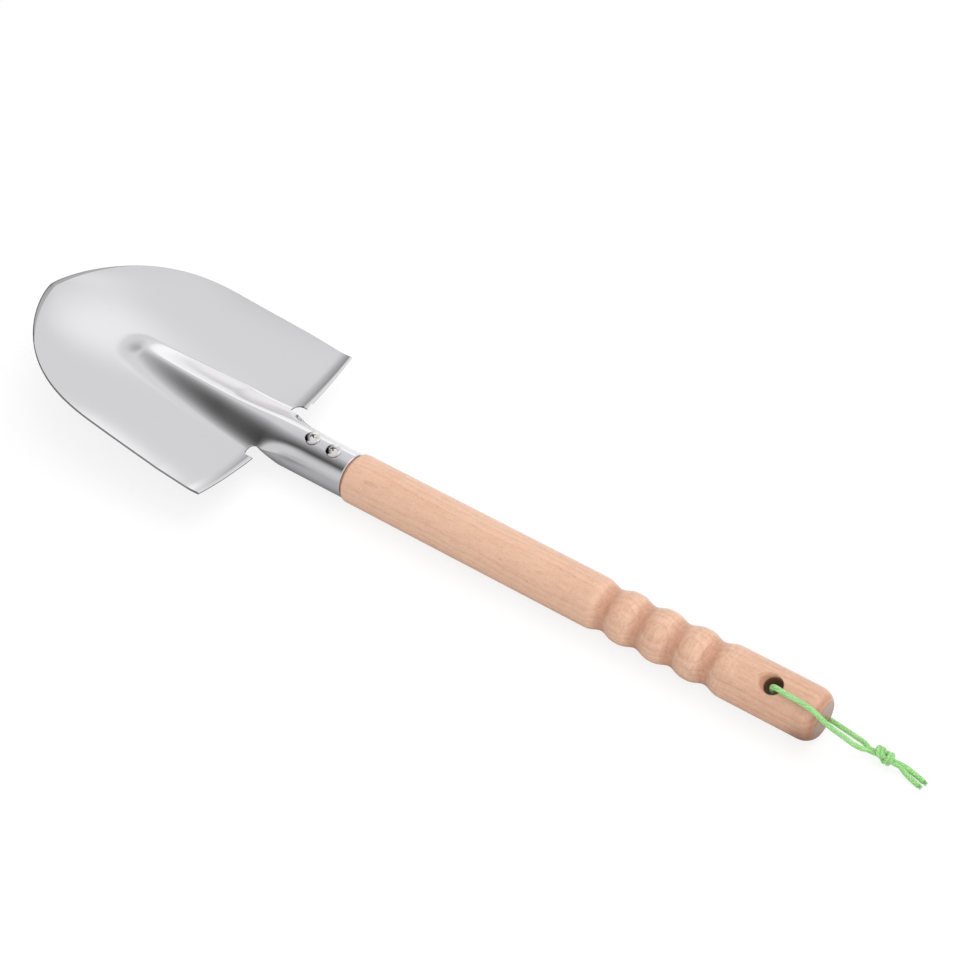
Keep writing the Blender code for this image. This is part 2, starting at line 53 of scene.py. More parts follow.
print("frame loaded")


# Camera, from the outlines in the photograph
cameraView = {
    "place": (-0.50855, 0.62445, 0.83709),
    "target": (-0.01265, -0.04503, 0.00145),
    "roll": -0.96,  # degrees
    "lens": 84.99,
    "sensor": 36,
    "farthest": 50,
}


def linkObject(name, data):
    made = bpy.data.objects.new(name, data)
    bpy.context.scene.collection.objects.link(made)
    return made


def addCamera():
    data = bpy.data.cameras.new("camera")
    data.lens = cameraView["lens"]
    data.sensor_width = cameraView["sensor"]
    data.clip_end = cameraView["farthest"]
    place = Vector(cameraView["place"])
    look = (Vector(cameraView["target"]) - place).to_track_quat("-Z", "Y").to_matrix()
    turn = Matrix.Rotation(math.radians(cameraView["roll"]), 3, "Z")
    camera = linkObject("camera", data)
    camera.matrix_world = Matrix.Translation(place) @ (look @ turn).to_4x4()
    bpy.context.scene.camera = camera


# Node helpers
def feed(entry, value):
    # value may be a plain value, a socket, a node (its first output) or a Term.
    if isinstance(value, Term):
        value = value.socket
    if isinstance(value, bpy.types.Node):
        value = value.outputs[0]
    if isinstance(value, bpy.types.NodeSocket):
        entry.id_data.links.new(value, entry)
    else:
        entry.default_value = value


def addNode(tree, kind, sockets=None, **settings):
    made = tree.nodes.new(kind)
    for name, value in settings.items():
        setattr(made, name, value)
    for key, value in (sockets or {}).items():
        feed(made.inputs[key], value)
    return made


def addMath(tree, operation, *numbers, clamp=False):
    return Term(addNode(tree, "ShaderNodeMath", dict(enumerate(numbers)), operation=operation,
                        use_clamp=clamp))


def doing(operation):
    return lambda term, *others: addMath(term.socket.id_data, operation, term, *others)


class Term:
    # A number on its way through a node tree, so that a formula reads as one.
    def __init__(self, source):
        self.socket = source.outputs[0] if isinstance(source, bpy.types.Node) else source

    __add__ = __radd__ = doing("ADD")
    __sub__ = doing("SUBTRACT")
    __mul__ = __rmul__ = doing("MULTIPLY")
    __truediv__ = doing("DIVIDE")
    sin, cos, arccos, root = doing("SINE"), doing("COSINE"), doing("ARCCOSINE"), doing("SQRT")
    fract, floor, power = doing("FRACT"), doing("FLOOR"), doing("POWER")
    above, below, larger = doing("GREATER_THAN"), doing("LESS_THAN"), doing("MAXIMUM")

    def __rsub__(self, other):
        return addMath(self.socket.id_data, "SUBTRACT", other, self)

    def clamped(self):
        return addMath(self.socket.id_data, "ADD", self, 0.0, clamp=True)

    def step(self, low, high):
        # 0 below low, 1 above high, smooth between.
        return Term(addNode(self.socket.id_data, "ShaderNodeMapRange", {0: self, 1: low, 2: high},
                            interpolation_type="SMOOTHSTEP"))


def combine(tree, x=0.0, y=0.0, z=0.0):
    return addNode(tree, "ShaderNodeCombineXYZ", {0: x, 1: y, 2: z})


def separate(tree, vector):
    return [Term(part) for part in addNode(tree, "ShaderNodeSeparateXYZ", {0: vector}).outputs]


def addVector(tree, operation, first, second):
    return addNode(tree, "ShaderNodeVectorMath", {0: first, 1: second}, operation=operation)


def scaleVector(tree, vector, factor):
    return addNode(tree, "ShaderNodeVectorMath", {0: vector, "Scale": factor}, operation="SCALE")


def newTree(name, kind, inputs, outputs):
    # inputs and outputs are (name, socket type, default) rows.
    tree = bpy.data.node_groups.new(name, kind)
    for rows, side in ((inputs, "INPUT"), (outputs, "OUTPUT")):
        for label, form, value in rows:
            socket = tree.interface.new_socket(label, in_out=side, socket_type="NodeSocket" + form)
            if value is not None:
                socket.default_value = value
    entry = tree.nodes.new("NodeGroupInput")
    leave = tree.nodes.new("NodeGroupOutput")
    given = {}
    for label, form, value in inputs:
        given[label] = Term(entry.outputs[label]) if form == "Float" else entry.outputs[label]
    return tree, given, leave


def newShapeTree(name, inputs):
    inputs = inputs + [("Material", "Material", None)]
    return newTree(name, "GeometryNodeTree", inputs, [("Geometry", "Geometry", None)])


def inputRows(values):
    return [(label, "Int" if isinstance(value, int) else "Float", value)
            for label, value in values.items()]


def joinShapes(tree, *parts):
    joined = tree.nodes.new("GeometryNodeJoinGeometry")
    for part in parts:
        feed(joined.inputs[0], part)
    return joined


def finishTree(tree, given, leave, shape):
    real = addNode(tree, "GeometryNodeRealizeInstances", {0: shape})
    feed(leave.inputs[0], addNode(tree, "GeometryNodeSetMaterial", {0: real, 2: given["Material"]}))
    return tree


def growMesh(name, tree, values, start=None):
    # Runs a geometry tree on an object and keeps the result as a plain mesh at the origin.
    base = start or linkObject(name + "Start", bpy.data.meshes.new(name + "Start"))
    modifier = base.modifiers.new("grow", "NODES")
    modifier.node_group = tree
    for item in tree.interface.items_tree:
        if item.item_type == "SOCKET" and item.in_out == "INPUT" and item.name in values:
            modifier[item.identifier] = values[item.name]
    graph = bpy.context.evaluated_depsgraph_get()
    graph.update()
    mesh = bpy.data.meshes.new_from_object(base.evaluated_get(graph), depsgraph=graph)
    bpy.data.objects.remove(base, do_unlink=True)
    mesh.name = name
    return smoothed(linkObject(name, mesh))


# Mesh and number helpers
sharpAngles = {"pressedBlade": 40, "turnedHandle": 20, "panHead": 50, "socketScrews": 50,
               "paleFloor": 30}  # degrees


def smoothed(piece):
    piece.data.shade_smooth()
    if piece.name in sharpAngles:
        piece.data.set_sharp_from_angle(angle=math.radians(sharpAngles[piece.name]))
    return piece


def finishMesh(name, bm, material):
    mesh = bpy.data.meshes.new(name)
    bm.to_mesh(mesh)
    bm.free()
    mesh.materials.append(material)
    return smoothed(linkObject(name, mesh))


def clipped(value):
    return min(1.0, max(0.0, value))


def smoothStep(value):
    value = clipped(value)
    return value * value * (3.0 - 2.0 * value)


# Shader helpers and the group that several finishes use
def addNoise(tree, vector, scale, detail, roughness=0.5, distortion=0.0):
    # scale is one number, or three that stretch the pattern.
    if not isinstance(scale, (float, Term)):
        vector, scale = addVector(tree, "MULTIPLY", vector, scale), 1.0
    return Term(addNode(tree, "ShaderNodeTexNoise", {
        "Vector": vector, "Scale": scale, "Detail": detail, "Roughness": roughness,
        "Distortion": distortion}))


def makeStreakGroup():
    # Fine lines along X with soft blotches between them: brushed steel, planed wood.
    tree, given, leave = newTree("fineStreaks", "ShaderNodeTree", [
        ("Vector", "Vector", None), ("Along", "Float", 20.0), ("Across", "Float", 900.0),
        ("Blotch", "Float", 30.0)], [("Lines", "Float", None), ("Blotches", "Float", None)])
    stretch = combine(tree, given["Along"], given["Across"], given["Across"])
    feed(leave.inputs["Lines"],
         addNoise(tree, given["Vector"], stretch, detail=3.0, roughness=0.6))
    feed(leave.inputs["Blotches"],
         addNoise(tree, given["Vector"], given["Blotch"], detail=2.0, distortion=0.4))
    return tree


streakGroup = makeStreakGroup()


def addStreaks(tree, place, sizes):
    made = addNode(tree, "ShaderNodeGroup", {
        "Vector": place, "Along": sizes[0], "Across": sizes[1], "Blotch": sizes[2]},
        node_tree=streakGroup)
    return Term(made.outputs["Lines"]), Term(made.outputs["Blotches"])


def startMaterial(name, constants):
    material = bpy.data.materials.new(name)
    material.use_nodes = True
    tree = material.node_tree
    shader = tree.nodes["Principled BSDF"]
    for socket, value in constants.items():
        shader.inputs[socket].default_value = value
    return material, tree, shader, addNode(tree, "ShaderNodeTexCoord").outputs["Object"]


def readMark(tree, name):
    return Term(addNode(tree, "ShaderNodeAttribute", attribute_name=name).outputs["Fac"])


def blendColour(tree, share, first, second, mode="MIX"):
    made = addNode(tree, "ShaderNodeMix", {0: share}, data_type="RGBA", blend_type=mode)
    for index, value in ((6, first), (7, second)):
        feed(made.inputs[index], (*value, 1.0) if isinstance(value, (tuple, list)) else value)
    return made.outputs[2]


def darker(colour, level):
    return [level * part for part in colour]


def addBumps(tree, shader, *layers):
    # Each layer is (height, distance, strength), laid over the one before it.
    normal = None
    for height, distance, strength in layers:
        sockets = {"Height": height, "Distance": distance, "Strength": strength}
        if normal:
            sockets["Normal"] = normal
        normal = addNode(tree, "ShaderNodeBump", sockets)
    feed(shader.inputs["Normal"], normal)


# Steel of the blade
steelFinish = {
    "colour": (0.803, 0.7935, 0.811),
    "groundColour": (0.56, 0.55, 0.56),
    # cut faces of the sheet: a painted shade, darker than the steel
    "cutFaceShade": (0.36, 0.355, 0.36),
    "streaks": (30.0, 1400.0, 22.0),  # along, across, blotches
    "streakShare": 0.05,
    "streakDark": 0.86,
    "roughness": 0.14,
    "roughnessSpread": 0.03,
    "lineRoughness": 0.02,
    "groundRoughness": 0.10,
    "streakDepth": 0.0000008,
    "waveScale": 38.0,
    "waveDepth": 0.000008,
    "grind": (2600.0, 160.0, 160.0),
    "grindDepth": 0.000004,
}


def makeSteel():
    v = steelFinish
    material, tree, shader, place = startMaterial("pressedSteel", {"Metallic": 1.0})
    lines, blotches = addStreaks(tree, place, v["streaks"])
    ground = readMark(tree, "ground")  # 1 on the ground tip, 2 on a cut face, which is painted in shade
    tone = blendColour(tree, (lines + blotches) * v["streakShare"], v["colour"],
                       darker(v["colour"], v["streakDark"]))
    tone = blendColour(tree, ground.clamped(), tone, v["groundColour"])
    tone = blendColour(tree, (ground - 1.0).clamped(), tone, v["cutFaceShade"])
    feed(shader.inputs["Base Color"], tone)
    rough = (blotches - 0.5) * v["roughnessSpread"] + (lines - 0.5) * v["lineRoughness"]
    feed(shader.inputs["Roughness"], rough + v["roughness"] + ground * v["groundRoughness"])
    wave = addNoise(tree, place, v["waveScale"], detail=1.0)
    grind = addNoise(tree, place, v["grind"], detail=2.0) * ground
    addBumps(tree, shader, (wave, v["waveDepth"], 1.0), (lines, v["streakDepth"], 1.0),
             (grind, v["grindDepth"], 1.0))
    return material


# Beech of the handle
beechFinish = {
    "light": (0.735, 0.462, 0.326),
    "dark": (0.560, 0.302, 0.190),
    "fleck": (0.360, 0.165, 0.085),
    # the butt's end grain, darker still as painted shade
    "butt": (0.280, 0.150, 0.106),
    # near the butt, darker underneath: partly a stain, partly painted shade
    "smudgeAndShade": (0.250, 0.115, 0.060),
    # painted shade inside the bore
    "hollow": (0.210, 0.090, 0.040),
    "pith": (0.0, 0.031, 0.055),  # heart of the tree, off the handle's axis
    "warpScale": 14.0,
    "warp": (0.0, 0.004, 0.004),
    "ringSpacing": 0.0027,
    "ringPower": 3.0,  # each year ends in a darker line
    "streaks": (25.0, 1100.0, 26.0),
    "mottle": (170.0, 430.0, 430.0),
    "curl": (900.0, 170.0, 170.0),
    "flecks": (560.0, 2900.0, 2900.0),
    "toolMarks": (2400.0, 12.0, 12.0),
    "fleckCut": (0.63, 0.70),
    # how much each part of the figure darkens the wood
    "shares": {"ring": 0.38, "line": 0.45, "blotch": 0.50, "mottle": 1.1, "curl": 1.7,
               "towardButt": 0.14, "closeToButt": 0.22, "none": -0.40},
    # where things begin and end, from the butt
    "towardButt": (0.060, 0.160),
    "closeToButt": (0.025, 0.060),
    "curled": (0.035, 0.055),
    "stainedAndShaded": (0.0040, 0.0230),
    "flatEnd": (0.00005, 0.0006),
    "holeStart": (0.0100, 0.0140),
    "holeEnd": (0.0360, 0.0370),
    "fleckShare": 0.34,
    "valleyShadeShare": 0.48,
    "boreShadeShare": 0.8,
    "wornPatches": (0.42, 0.62),
    "shadedHeights": (-0.007, 0.009),  # darker towards the underside: partly a stain, partly painted shade
    "topSpared": 0.9,
    "endWearAndShade": 0.3,
    "valleyShadeFade": 0.7,  # of the grooves' depth
    "cutDepths": (0.0016, 0.0006),  # under the valleys, where something is cut
    "roughness": 0.40,
    "lineRoughness": 0.12,
    "fleckRoughness": 0.15,
    "coat": 0.38,  # thin oil, none inside the hole
    "coatRoughness": 0.22,
    "grainDepth": 0.00003,
    "toolDepth": 0.00001,
    "fleckDepth": 0.00005,
    "bumpStrength": 0.5,
}


def makeBeech():
    v = beechFinish
    parts = v["shares"]
    material, tree, shader, place = startMaterial("beech", {"Coat Roughness": v["coatRoughness"]})
    warp = addNode(tree, "ShaderNodeTexNoise", {"Vector": place, "Scale": v["warpScale"],
                                                "Detail": 2.0})
    bent = addVector(tree, "ADD", place,
                     addVector(tree, "MULTIPLY", warp.outputs["Color"], v["warp"]))
    aside, above = separate(tree, addVector(tree, "SUBTRACT", bent, v["pith"]))[1:]
    ring = (aside * aside + above * above).root() / v["ringSpacing"]
    lines, blotches = addStreaks(tree, place, v["streaks"])
    mottle = addNoise(tree, place, v["mottle"], detail=3.0, roughness=0.7)
    curl = addNoise(tree, place, v["curl"], detail=2.0, distortion=0.6)
    fleck = addNoise(tree, place, v["flecks"], detail=1.0, roughness=0.4).step(*v["fleckCut"])
    toolMarks = addNoise(tree, place, v["toolMarks"], detail=1.0)
    x, aside, height = separate(tree, place)
    fromButt, above = x - buttX, height - axisZ
    # darker towards the butt
    towardButt = 1.0 - fromButt.step(*v["towardButt"])
    closeToButt = 1.0 - fromButt.step(*v["closeToButt"])
    share = ring.fract().power(v["ringPower"]) * parts["ring"]
    share = share + lines * parts["line"] + blotches * parts["blotch"]
    share = share + (mottle - 0.5) * parts["mottle"] + towardButt * parts["towardButt"]
    curled = towardButt * fromButt.step(*v["curled"]) * parts["curl"]
    share = share + closeToButt * parts["closeToButt"] + (curl - 0.5) * curled + parts["none"]
    tone = blendColour(tree, share.clamped(), v["light"], v["dark"])
    tone = blendColour(tree, fleck * v["fleckShare"], tone, v["fleck"])
    # painted shade in the valleys of the grip, partly darker wood; then all that is cut deeper than
    # they are
    radius = (aside * aside + above * above).root()
    depth = turnedHandle["Groove depth"]
    valley = handleRadius - depth
    low = 1.0 - radius.step(valley, valley + v["valleyShadeFade"] * depth)
    outside = radius.step(*(valley - under for under in v["cutDepths"]))
    tone = blendColour(tree, low * outside * v["valleyShadeShare"], tone, v["dark"], "MULTIPLY")
    # patches near the butt, heavier underneath: partly a stain, partly painted shade
    wornAndShaded = blotches.step(*v["wornPatches"]) * 0.5 + 0.5
    wornAndShaded = wornAndShaded * (1.0 - above.step(*v["shadedHeights"]) * v["topSpared"])
    stainedAndShaded = 1.0 - fromButt.step(*v["stainedAndShaded"])
    tone = blendColour(tree, stainedAndShaded * wornAndShaded, tone, v["smudgeAndShade"])
    # the flat butt end: end grain, with painted shade, patchy and heavier underneath
    flatEnd = 1.0 - fromButt.step(*v["flatEnd"])
    wornAndShaded = wornAndShaded * v["endWearAndShade"] + (1.0 - v["endWearAndShade"])
    tone = blendColour(tree, flatEnd * wornAndShaded, tone, v["butt"])
    # painted shade inside the bore
    inHole = (1.0 - outside) * (1.0 - fromButt.step(*v["holeEnd"]))
    inHole = inHole * fromButt.step(*v["holeStart"])
    tone = blendColour(tree, inHole * v["boreShadeShare"], tone, v["hollow"])
    feed(shader.inputs["Base Color"], tone)
    feed(shader.inputs["Coat Weight"], (1.0 - inHole) * v["coat"])
    rough = lines * v["lineRoughness"] + fleck * v["fleckRoughness"]
    feed(shader.inputs["Roughness"], rough + v["roughness"])
    strength = v["bumpStrength"]
    addBumps(tree, shader, (lines, v["grainDepth"], strength),
             (toolMarks, v["toolDepth"], strength), (1.0 - fleck, v["fleckDepth"], strength))
    return material


# Bright plating of the screws
screwFinish = {
    "colour": (0.86, 0.84, 0.83),
    # painted shade for the cross recess
    "recessShade": (0.26, 0.25, 0.24),
    "streaks": (1500.0, 1500.0, 260.0),
    "roughness": 0.07,
    "roughnessSpread": 0.06,
    "recessRoughness": 0.3,
    "bumpDepth": 0.00001,
    "bumpStrength": 0.6,
    "blotchShare": 2.0,
}


def makeScrewSteel():
    v = screwFinish
    material, tree, shader, place = startMaterial("brightSteel", {"Metallic": 1.0})
    lines, blotches = addStreaks(tree, place, v["streaks"])
    deep = readMark(tree, "recess")
    # painted shade in the cross recess
    feed(shader.inputs["Base Color"], blendColour(tree, deep, v["colour"], v["recessShade"]))
    rough = (blotches - 0.5) * v["roughnessSpread"] + v["roughness"]
    feed(shader.inputs["Roughness"], rough + deep * v["recessRoughness"])
    height = lines + blotches * v["blotchShare"]
    addBumps(tree, shader, (height, v["bumpDepth"], v["bumpStrength"]))
    return material


# Braid of the cord
braidFinish = {
    "light": (0.36, 0.77, 0.24),
    # dark: painted shade for the hollows between the strands
    "dark": (0.05, 0.28, 0.04),
    # each strand's own paler tone, with a painted highlight on its top
    "paleToneAndHighlight": (0.72, 0.95, 0.60),
    "paleHighlightShare": 0.55,
    "topPower": 1.6,  # how soon painted shade darkens the hollows between the strands
    "topGain": 1.15,
    "topDrop": 0.15,
    "fibreShare": 0.3,
    "roughness": 0.52,
    "fibreRoughness": 0.2,
    "fibreScale": 6000.0,
    "fibreDepth": 0.00004,
    "fibreStrength": 0.6,
    "sheen": 0.35,
    "sheenRoughness": 0.4,
}


def makeBraid():
    v = braidFinish
    material, tree, shader, place = startMaterial("greenBraid", {
        "Sheen Weight": v["sheen"], "Sheen Roughness": v["sheenRoughness"]})
    height, yarn = readMark(tree, "braid"), readMark(tree, "yarn")
    fibres = addNoise(tree, place, v["fibreScale"], detail=3.0)
    unshaded = height.power(v["topPower"]) * v["topGain"] + fibres * v["fibreShare"] - v["topDrop"]
    # painted shade in the hollows between the strands
    tone = blendColour(tree, unshaded.clamped(), v["dark"], v["light"])
    # some strand tops paler: their own tone, with a painted highlight
    tone = blendColour(tree, yarn * height * v["paleHighlightShare"], tone, v["paleToneAndHighlight"])
    feed(shader.inputs["Base Color"], tone)
    feed(shader.inputs["Roughness"], fibres * v["fibreRoughness"] + v["roughness"])
    addBumps(tree, shader, (fibres, v["fibreDepth"], v["fibreStrength"]))
    return material


# Blade: one pressed sheet with rib, notches, lipped shoulders and rolled socket
pressedBlade = {
    "sheet": 0.0012,
    "socketRadius": 0.0125,
    "seamGap": 0.0015,
    "neckFlareStart": 0.0180,
    "neckEnd": 0.0520,
    "neckHalf": 0.0156,
    "neckHug": 3.0,  # how soon the sides close round the handle
    "frontGap": 0.005,  # from the neck's end to the rows ahead of the notches
    "wingDrop": 0.0165,
    "wingSlant": 0.7,
    "wingFlare": (0.0120, 0.0072),  # near side, far side
    "wingFlareFall": 0.45,
    "widestAt": 0.0770,
    "sideTaper": 0.0437,
    "noseStart": 0.1218,
    "noseFullness": 2.59,
    "nosePoint": 1.427,
    "shoulderAt": 0.0485,
    "shoulderSlant": 0.0011,
    "notchWidth": 0.0068,
    "lipRun": 0.0090,
    "lipRise": 0.0010,
    "lipTurn": 0.86,  # share of the lip's run where it rolls back
    "lipPower": 2.0,
    "lipFall": 0.5,  # how far past level it rolls
    "edgeHeight": 0.0035,
    "bladeTilt": 7.1,  # degrees
    "dishDepth": 0.0087,
    "dishCentre": 0.0994,
    "dishPower": 2.33,
    "crestStart": 0.0330,
    "crestEase": 0.0080,
    "crestSlope": 0.0340,
    "crestAside": 0.0008,  # the crest drifts to the near side
    "ribNose": 0.1585,
    "ribReach": 0.0172,  # from the nose's foot back to full height
    "ribHalfNear": (0.0214, 0.0178),  # crest to foot, at the neck and at the nose
    "ribHalfFar": (0.0216, 0.0102),
    "ribStraight": (1.22, 1.08),  # powers of the far flank ahead of the neck
    "ribStraightFrom": 0.36,
    "ribTopPower": (1.86, 1.38),
    "ribFootPower": (2.02, 2.90),
    "lean": 0.0005,  # the point sits a little to the far side
    "leanStart": 0.10,
    "leanRun": 0.06,
    "groundWidth": 0.0032,
    "groundLength": 0.0460,
    "groundEdge": 0.00035,
    "plainEdge": 0.0004,  # width of the edge strip where nothing is ground
    "edgeRounding": 0.00022,
    "rimRounding": 0.00050,
    "roundingShare": 0.42,  # at most, of the sheet
}
sheetGrid = {"neck": 24, "notch": 14, "shoulder": 34, "ground": 3, "wing": 30, "rows": 116,
             "behind": 12, "lip": 14, "socket": 60, "outline": 2400, "corner": 1872, "dense": 4000,
             "weld": 2e-6}
headLength = bladeHigh[0] - rimX
bladeHalf = (bladeHigh[1] - bladeLow[1]) / 2
notchRadius = pressedBlade["notchWidth"] / 2
notchCentre = pressedBlade["neckHalf"] + notchRadius
notchOuter = pressedBlade["neckHalf"] + pressedBlade["notchWidth"]
seamV = math.pi * pressedBlade["socketRadius"] - pressedBlade["seamGap"] / 2
frontRow = pressedBlade["neckEnd"] + pressedBlade["frontGap"]


def halfWidth(x):
    p = pressedBlade
    side = bladeHalf - p["sideTaper"] * max(0.0, x - p["widestAt"])
    reach = clipped((x - p["noseStart"]) / (headLength - p["noseStart"]))
    return side * max(0.0, 1.0 - reach ** p["noseFullness"]) ** (1.0 / p["nosePoint"])


def floorHeight(x, y):
    p = pressedBlade
    centre = p["dishCentre"]
    along = (x - centre) / (headLength - centre) if x > centre else (centre - x) / centre
    depth = p["dishDepth"] * (1.0 - min(1.0, along) ** p["dishPower"])
    across = min(1.0, abs(y) / max(halfWidth(x), 1e-6))
    edge = p["edgeHeight"] + math.tan(math.radians(p["bladeTilt"])) * x
    return edge - depth * (1.0 - across ** p["dishPower"])


def pressedHeight(x, y):
    # y is above 0 on the near side; the rib's far flank is narrower and straighter.
    p = pressedBlade
    noseCentre = p["ribNose"] - p["ribReach"]
    station = min(x, noseCentre)
    share = (station - p["neckEnd"]) / (noseCentre - p["neckEnd"])

    def between(pair):
        return pair[0] + (pair[1] - pair[0]) * share

    crestY = p["crestAside"] * smoothStep(share / p["ribStraightFrom"])
    half = between(p["ribHalfNear"]) - crestY if y > crestY else between(p["ribHalfFar"]) + crestY
    aside = (y - crestY) / half
    offAxis = math.hypot(max(0.0, x - noseCentre) / p["ribReach"], aside)
    if offAxis >= 1.0:
        return floorHeight(x, y)
    topPower, footPower = between(p["ribTopPower"]), between(p["ribFootPower"])
    if aside < 0.0:
        straight = (aside / offAxis) ** 2 * clipped(share / p["ribStraightFrom"])
        topPower += (p["ribStraight"][0] - topPower) * straight
        footPower += (p["ribStraight"][1] - footPower) * straight
    form = (1.0 - offAxis ** topPower) ** footPower
    run = max(0.0, station - p["crestStart"])
    crest = p["socketRadius"] + p["crestSlope"] * run * run / (run + p["crestEase"])
    return floorHeight(x, y) + (crest - floorHeight(station, 0.0)) * form


def lipShare(run):
    # 0 where the lip begins, 1 at the edge; it steepens, then rolls back level.
    turn, power, fall = (pressedBlade[name] for name in ("lipTurn", "lipPower", "lipFall"))
    slope = power * turn ** (power - 1)
    steep = min(run, turn) ** power
    if run > turn:
        steep += slope * (run - turn) * (1.0 - (1.0 + fall) * (run - turn) / (2 * (1 - turn)))
    return steep / (turn ** power + slope * (1 - turn) * (1.0 - fall) / 2)


def bladePoint(x, y, side):
    p = pressedBlade
    run = clipped((p["shoulderAt"] + p["shoulderSlant"] + p["lipRun"] - x) / p["lipRun"])
    lip = p["lipRise"] * lipShare(run) * smoothStep((y - p["neckHalf"]) / p["notchWidth"])
    return Vector((x, y, pressedHeight(x, y * side) + lip))


def socketPoint(x, v):
    radius = pressedBlade["socketRadius"]
    return Vector((x, radius * math.sin(v / radius), radius * math.cos(v / radius)))


def neckPoint(x, v, side):
    p = pressedBlade
    weight = smoothStep((x - p["neckFlareStart"]) / (p["neckEnd"] - p["neckFlareStart"]))
    weight **= 1.0 + p["neckHug"] * (min(v, p["neckHalf"]) / p["neckHalf"]) ** 2
    return socketPoint(x, v).lerp(Vector((x, v, pressedHeight(x, v * side))), weight)


def wingPoint(x, v, side):
    p = pressedBlade
    flare = neckPoint(x, p["neckHalf"], side) - socketPoint(x, p["neckHalf"])
    reach = p["wingFlare"][side < 0] * (1.0 - p["wingFlareFall"] * x / p["neckEnd"])
    fade = 1.0 - smoothStep((v - p["neckHalf"]) / (reach * 2.0))
    return socketPoint(x, v) + flare * fade ** 2


# Edges of the patches, as x for a width v over the sheet
def rimEdge(v):
    return 0.0


def wingEdge(v):
    p = pressedBlade
    share = max(0.0, (v - p["neckHalf"]) / (seamV - p["neckHalf"]))
    return p["neckEnd"] - p["wingDrop"] * share ** p["wingSlant"]


def neckEdge(v):
    return pressedBlade["neckEnd"]


def notchEdge(v):
    arc = math.sqrt(max(0.0, notchRadius ** 2 - (v - notchCentre) ** 2))
    return pressedBlade["neckEnd"] + arc


def frontEdge(v):
    return frontRow


def shoulderEdge(v):
    p = pressedBlade
    return p["shoulderAt"] + p["shoulderSlant"] * (v - notchOuter) / (bladeHalf - notchOuter)


def divided(low, high, count):
    return [low + (high - low) * index / count for index in range(count + 1)]


def headingAt(points, index):
    return (points[min(len(points) - 1, index + 1)] - points[max(0, index - 1)]).normalized()


def spaced(points, count):
    # The same line with evenly spaced points.
    lengths = [0.0]
    for before, after in zip(points, points[1:]):
        lengths.append(lengths[-1] + (after - before).length)
    even = []
    place = 0
    for wanted in divided(0.0, lengths[-1], count):
        while place < len(points) - 2 and lengths[place + 1] < wanted:
            place += 1
        span = max(1e-9, lengths[place + 1] - lengths[place])
        even.append(points[place].lerp(points[place + 1], (wanted - lengths[place]) / span))
    return even


def alongLine(points, share):
    reach = share * (len(points) - 1)
    place = min(len(points) - 2, int(reach))
    return points[place].lerp(points[place + 1], reach - place)


def outlinePoints(count):
    dense = []
    for angle in divided(0.0, math.pi / 2, sheetGrid["dense"]):
        x = frontRow + (headLength - frontRow) * math.sin(angle)
        dense.append(Vector((x, halfWidth(x), 0.0)))
    return spaced(dense, count)


def groundBand(reach):
    # How much wider than plain the edge band is, at a distance from the tip.
    p = pressedBlade
    return (p["groundWidth"] - p["plainEdge"]) * max(0.0, 1.0 - reach / p["groundLength"])


def insetPoints(outline):
    # Where the ground band begins: it is widest at the tip and runs out along both edges.
    inset = []
    for index, point in enumerate(outline):
        along = headingAt(outline, index)
        band = pressedBlade["plainEdge"] + groundBand((outline[-1] - point).length)
        moved = point + Vector((along.y, -along.x, 0.0)) * band
        if moved.y <= 0.0:
            last = inset[-1]
            inset.append(last.lerp(moved, last.y / (last.y - moved.y)))
            break
        inset.append(moved)
    inset[-1].y = 0.0
    return inset


def acrossValues():
    # Widths, over the sheet, of the columns from the crest to the edge strip.
    values = divided(0.0, pressedBlade["neckHalf"], sheetGrid["neck"])[:-1]
    for angle in divided(0.0, math.pi, sheetGrid["notch"])[:-1]:
        values.append(notchCentre - notchRadius * math.cos(angle))
    inner = halfWidth(frontRow) - pressedBlade["plainEdge"]
    return values + divided(notchOuter, inner, sheetGrid["shoulder"])


def bladeRows(columns, side):
    # A patch between the row ahead of the notches, the centre line and the inset outline,
    # then a strip from there out to the edge.
    count, corner = sheetGrid["outline"], sheetGrid["corner"]
    outline = outlinePoints(count)
    inset = insetPoints(outline)
    inner = (inset[:corner + 1], spaced(inset[corner:], count - corner))
    outer = (outline[:corner + 1], outline[corner:])
    flank, nose = inner[0], inner[1][::-1]
    start = Vector((frontRow, 0.0, 0.0))
    shares = divided(0.0, 1.0, sheetGrid["rows"])
    rows = []
    for s in shares:
        high = alongLine(flank, s)
        low = start + Vector(((nose[0].x - frontRow) * s, 0.0, 0.0))
        row = []
        for value in columns:
            t = value / columns[-1]
            point = Vector((frontRow, value, 0.0)) * (1 - s) + alongLine(nose, t) * s
            point += low * (1 - t) + high * t
            point -= start * (1 - s) * (1 - t) + nose[0] * s * (1 - t)
            point -= flank[0] * (1 - s) * t + nose[-1] * s * t
            row.append(bladePoint(point.x, abs(point.y), side))
        rows.append(row)
    strip = []
    places = [(0, share) for share in shares]
    places += [(1, 1.0 - value / columns[-1]) for value in reversed(columns[:-1])]
    for part, share in places:
        first, last = alongLine(inner[part], share), alongLine(outer[part], share)
        points = [first.lerp(last, step) for step in divided(0.0, 1.0, sheetGrid["ground"])]
        strip.append([bladePoint(point.x, abs(point.y), side) for point in points])
    return rows, strip


def addPatch(bm, rows, side):
    grid = [[bm.verts.new((point.x, point.y * side, point.z)) for point in row] for row in rows]
    made = []
    for near, far in zip(grid, grid[1:]):
        for index in range(len(near) - 1):
            corners = [near[index], far[index], far[index + 1], near[index + 1]]
            made.append(bm.faces.new(corners[::side]))
    return made


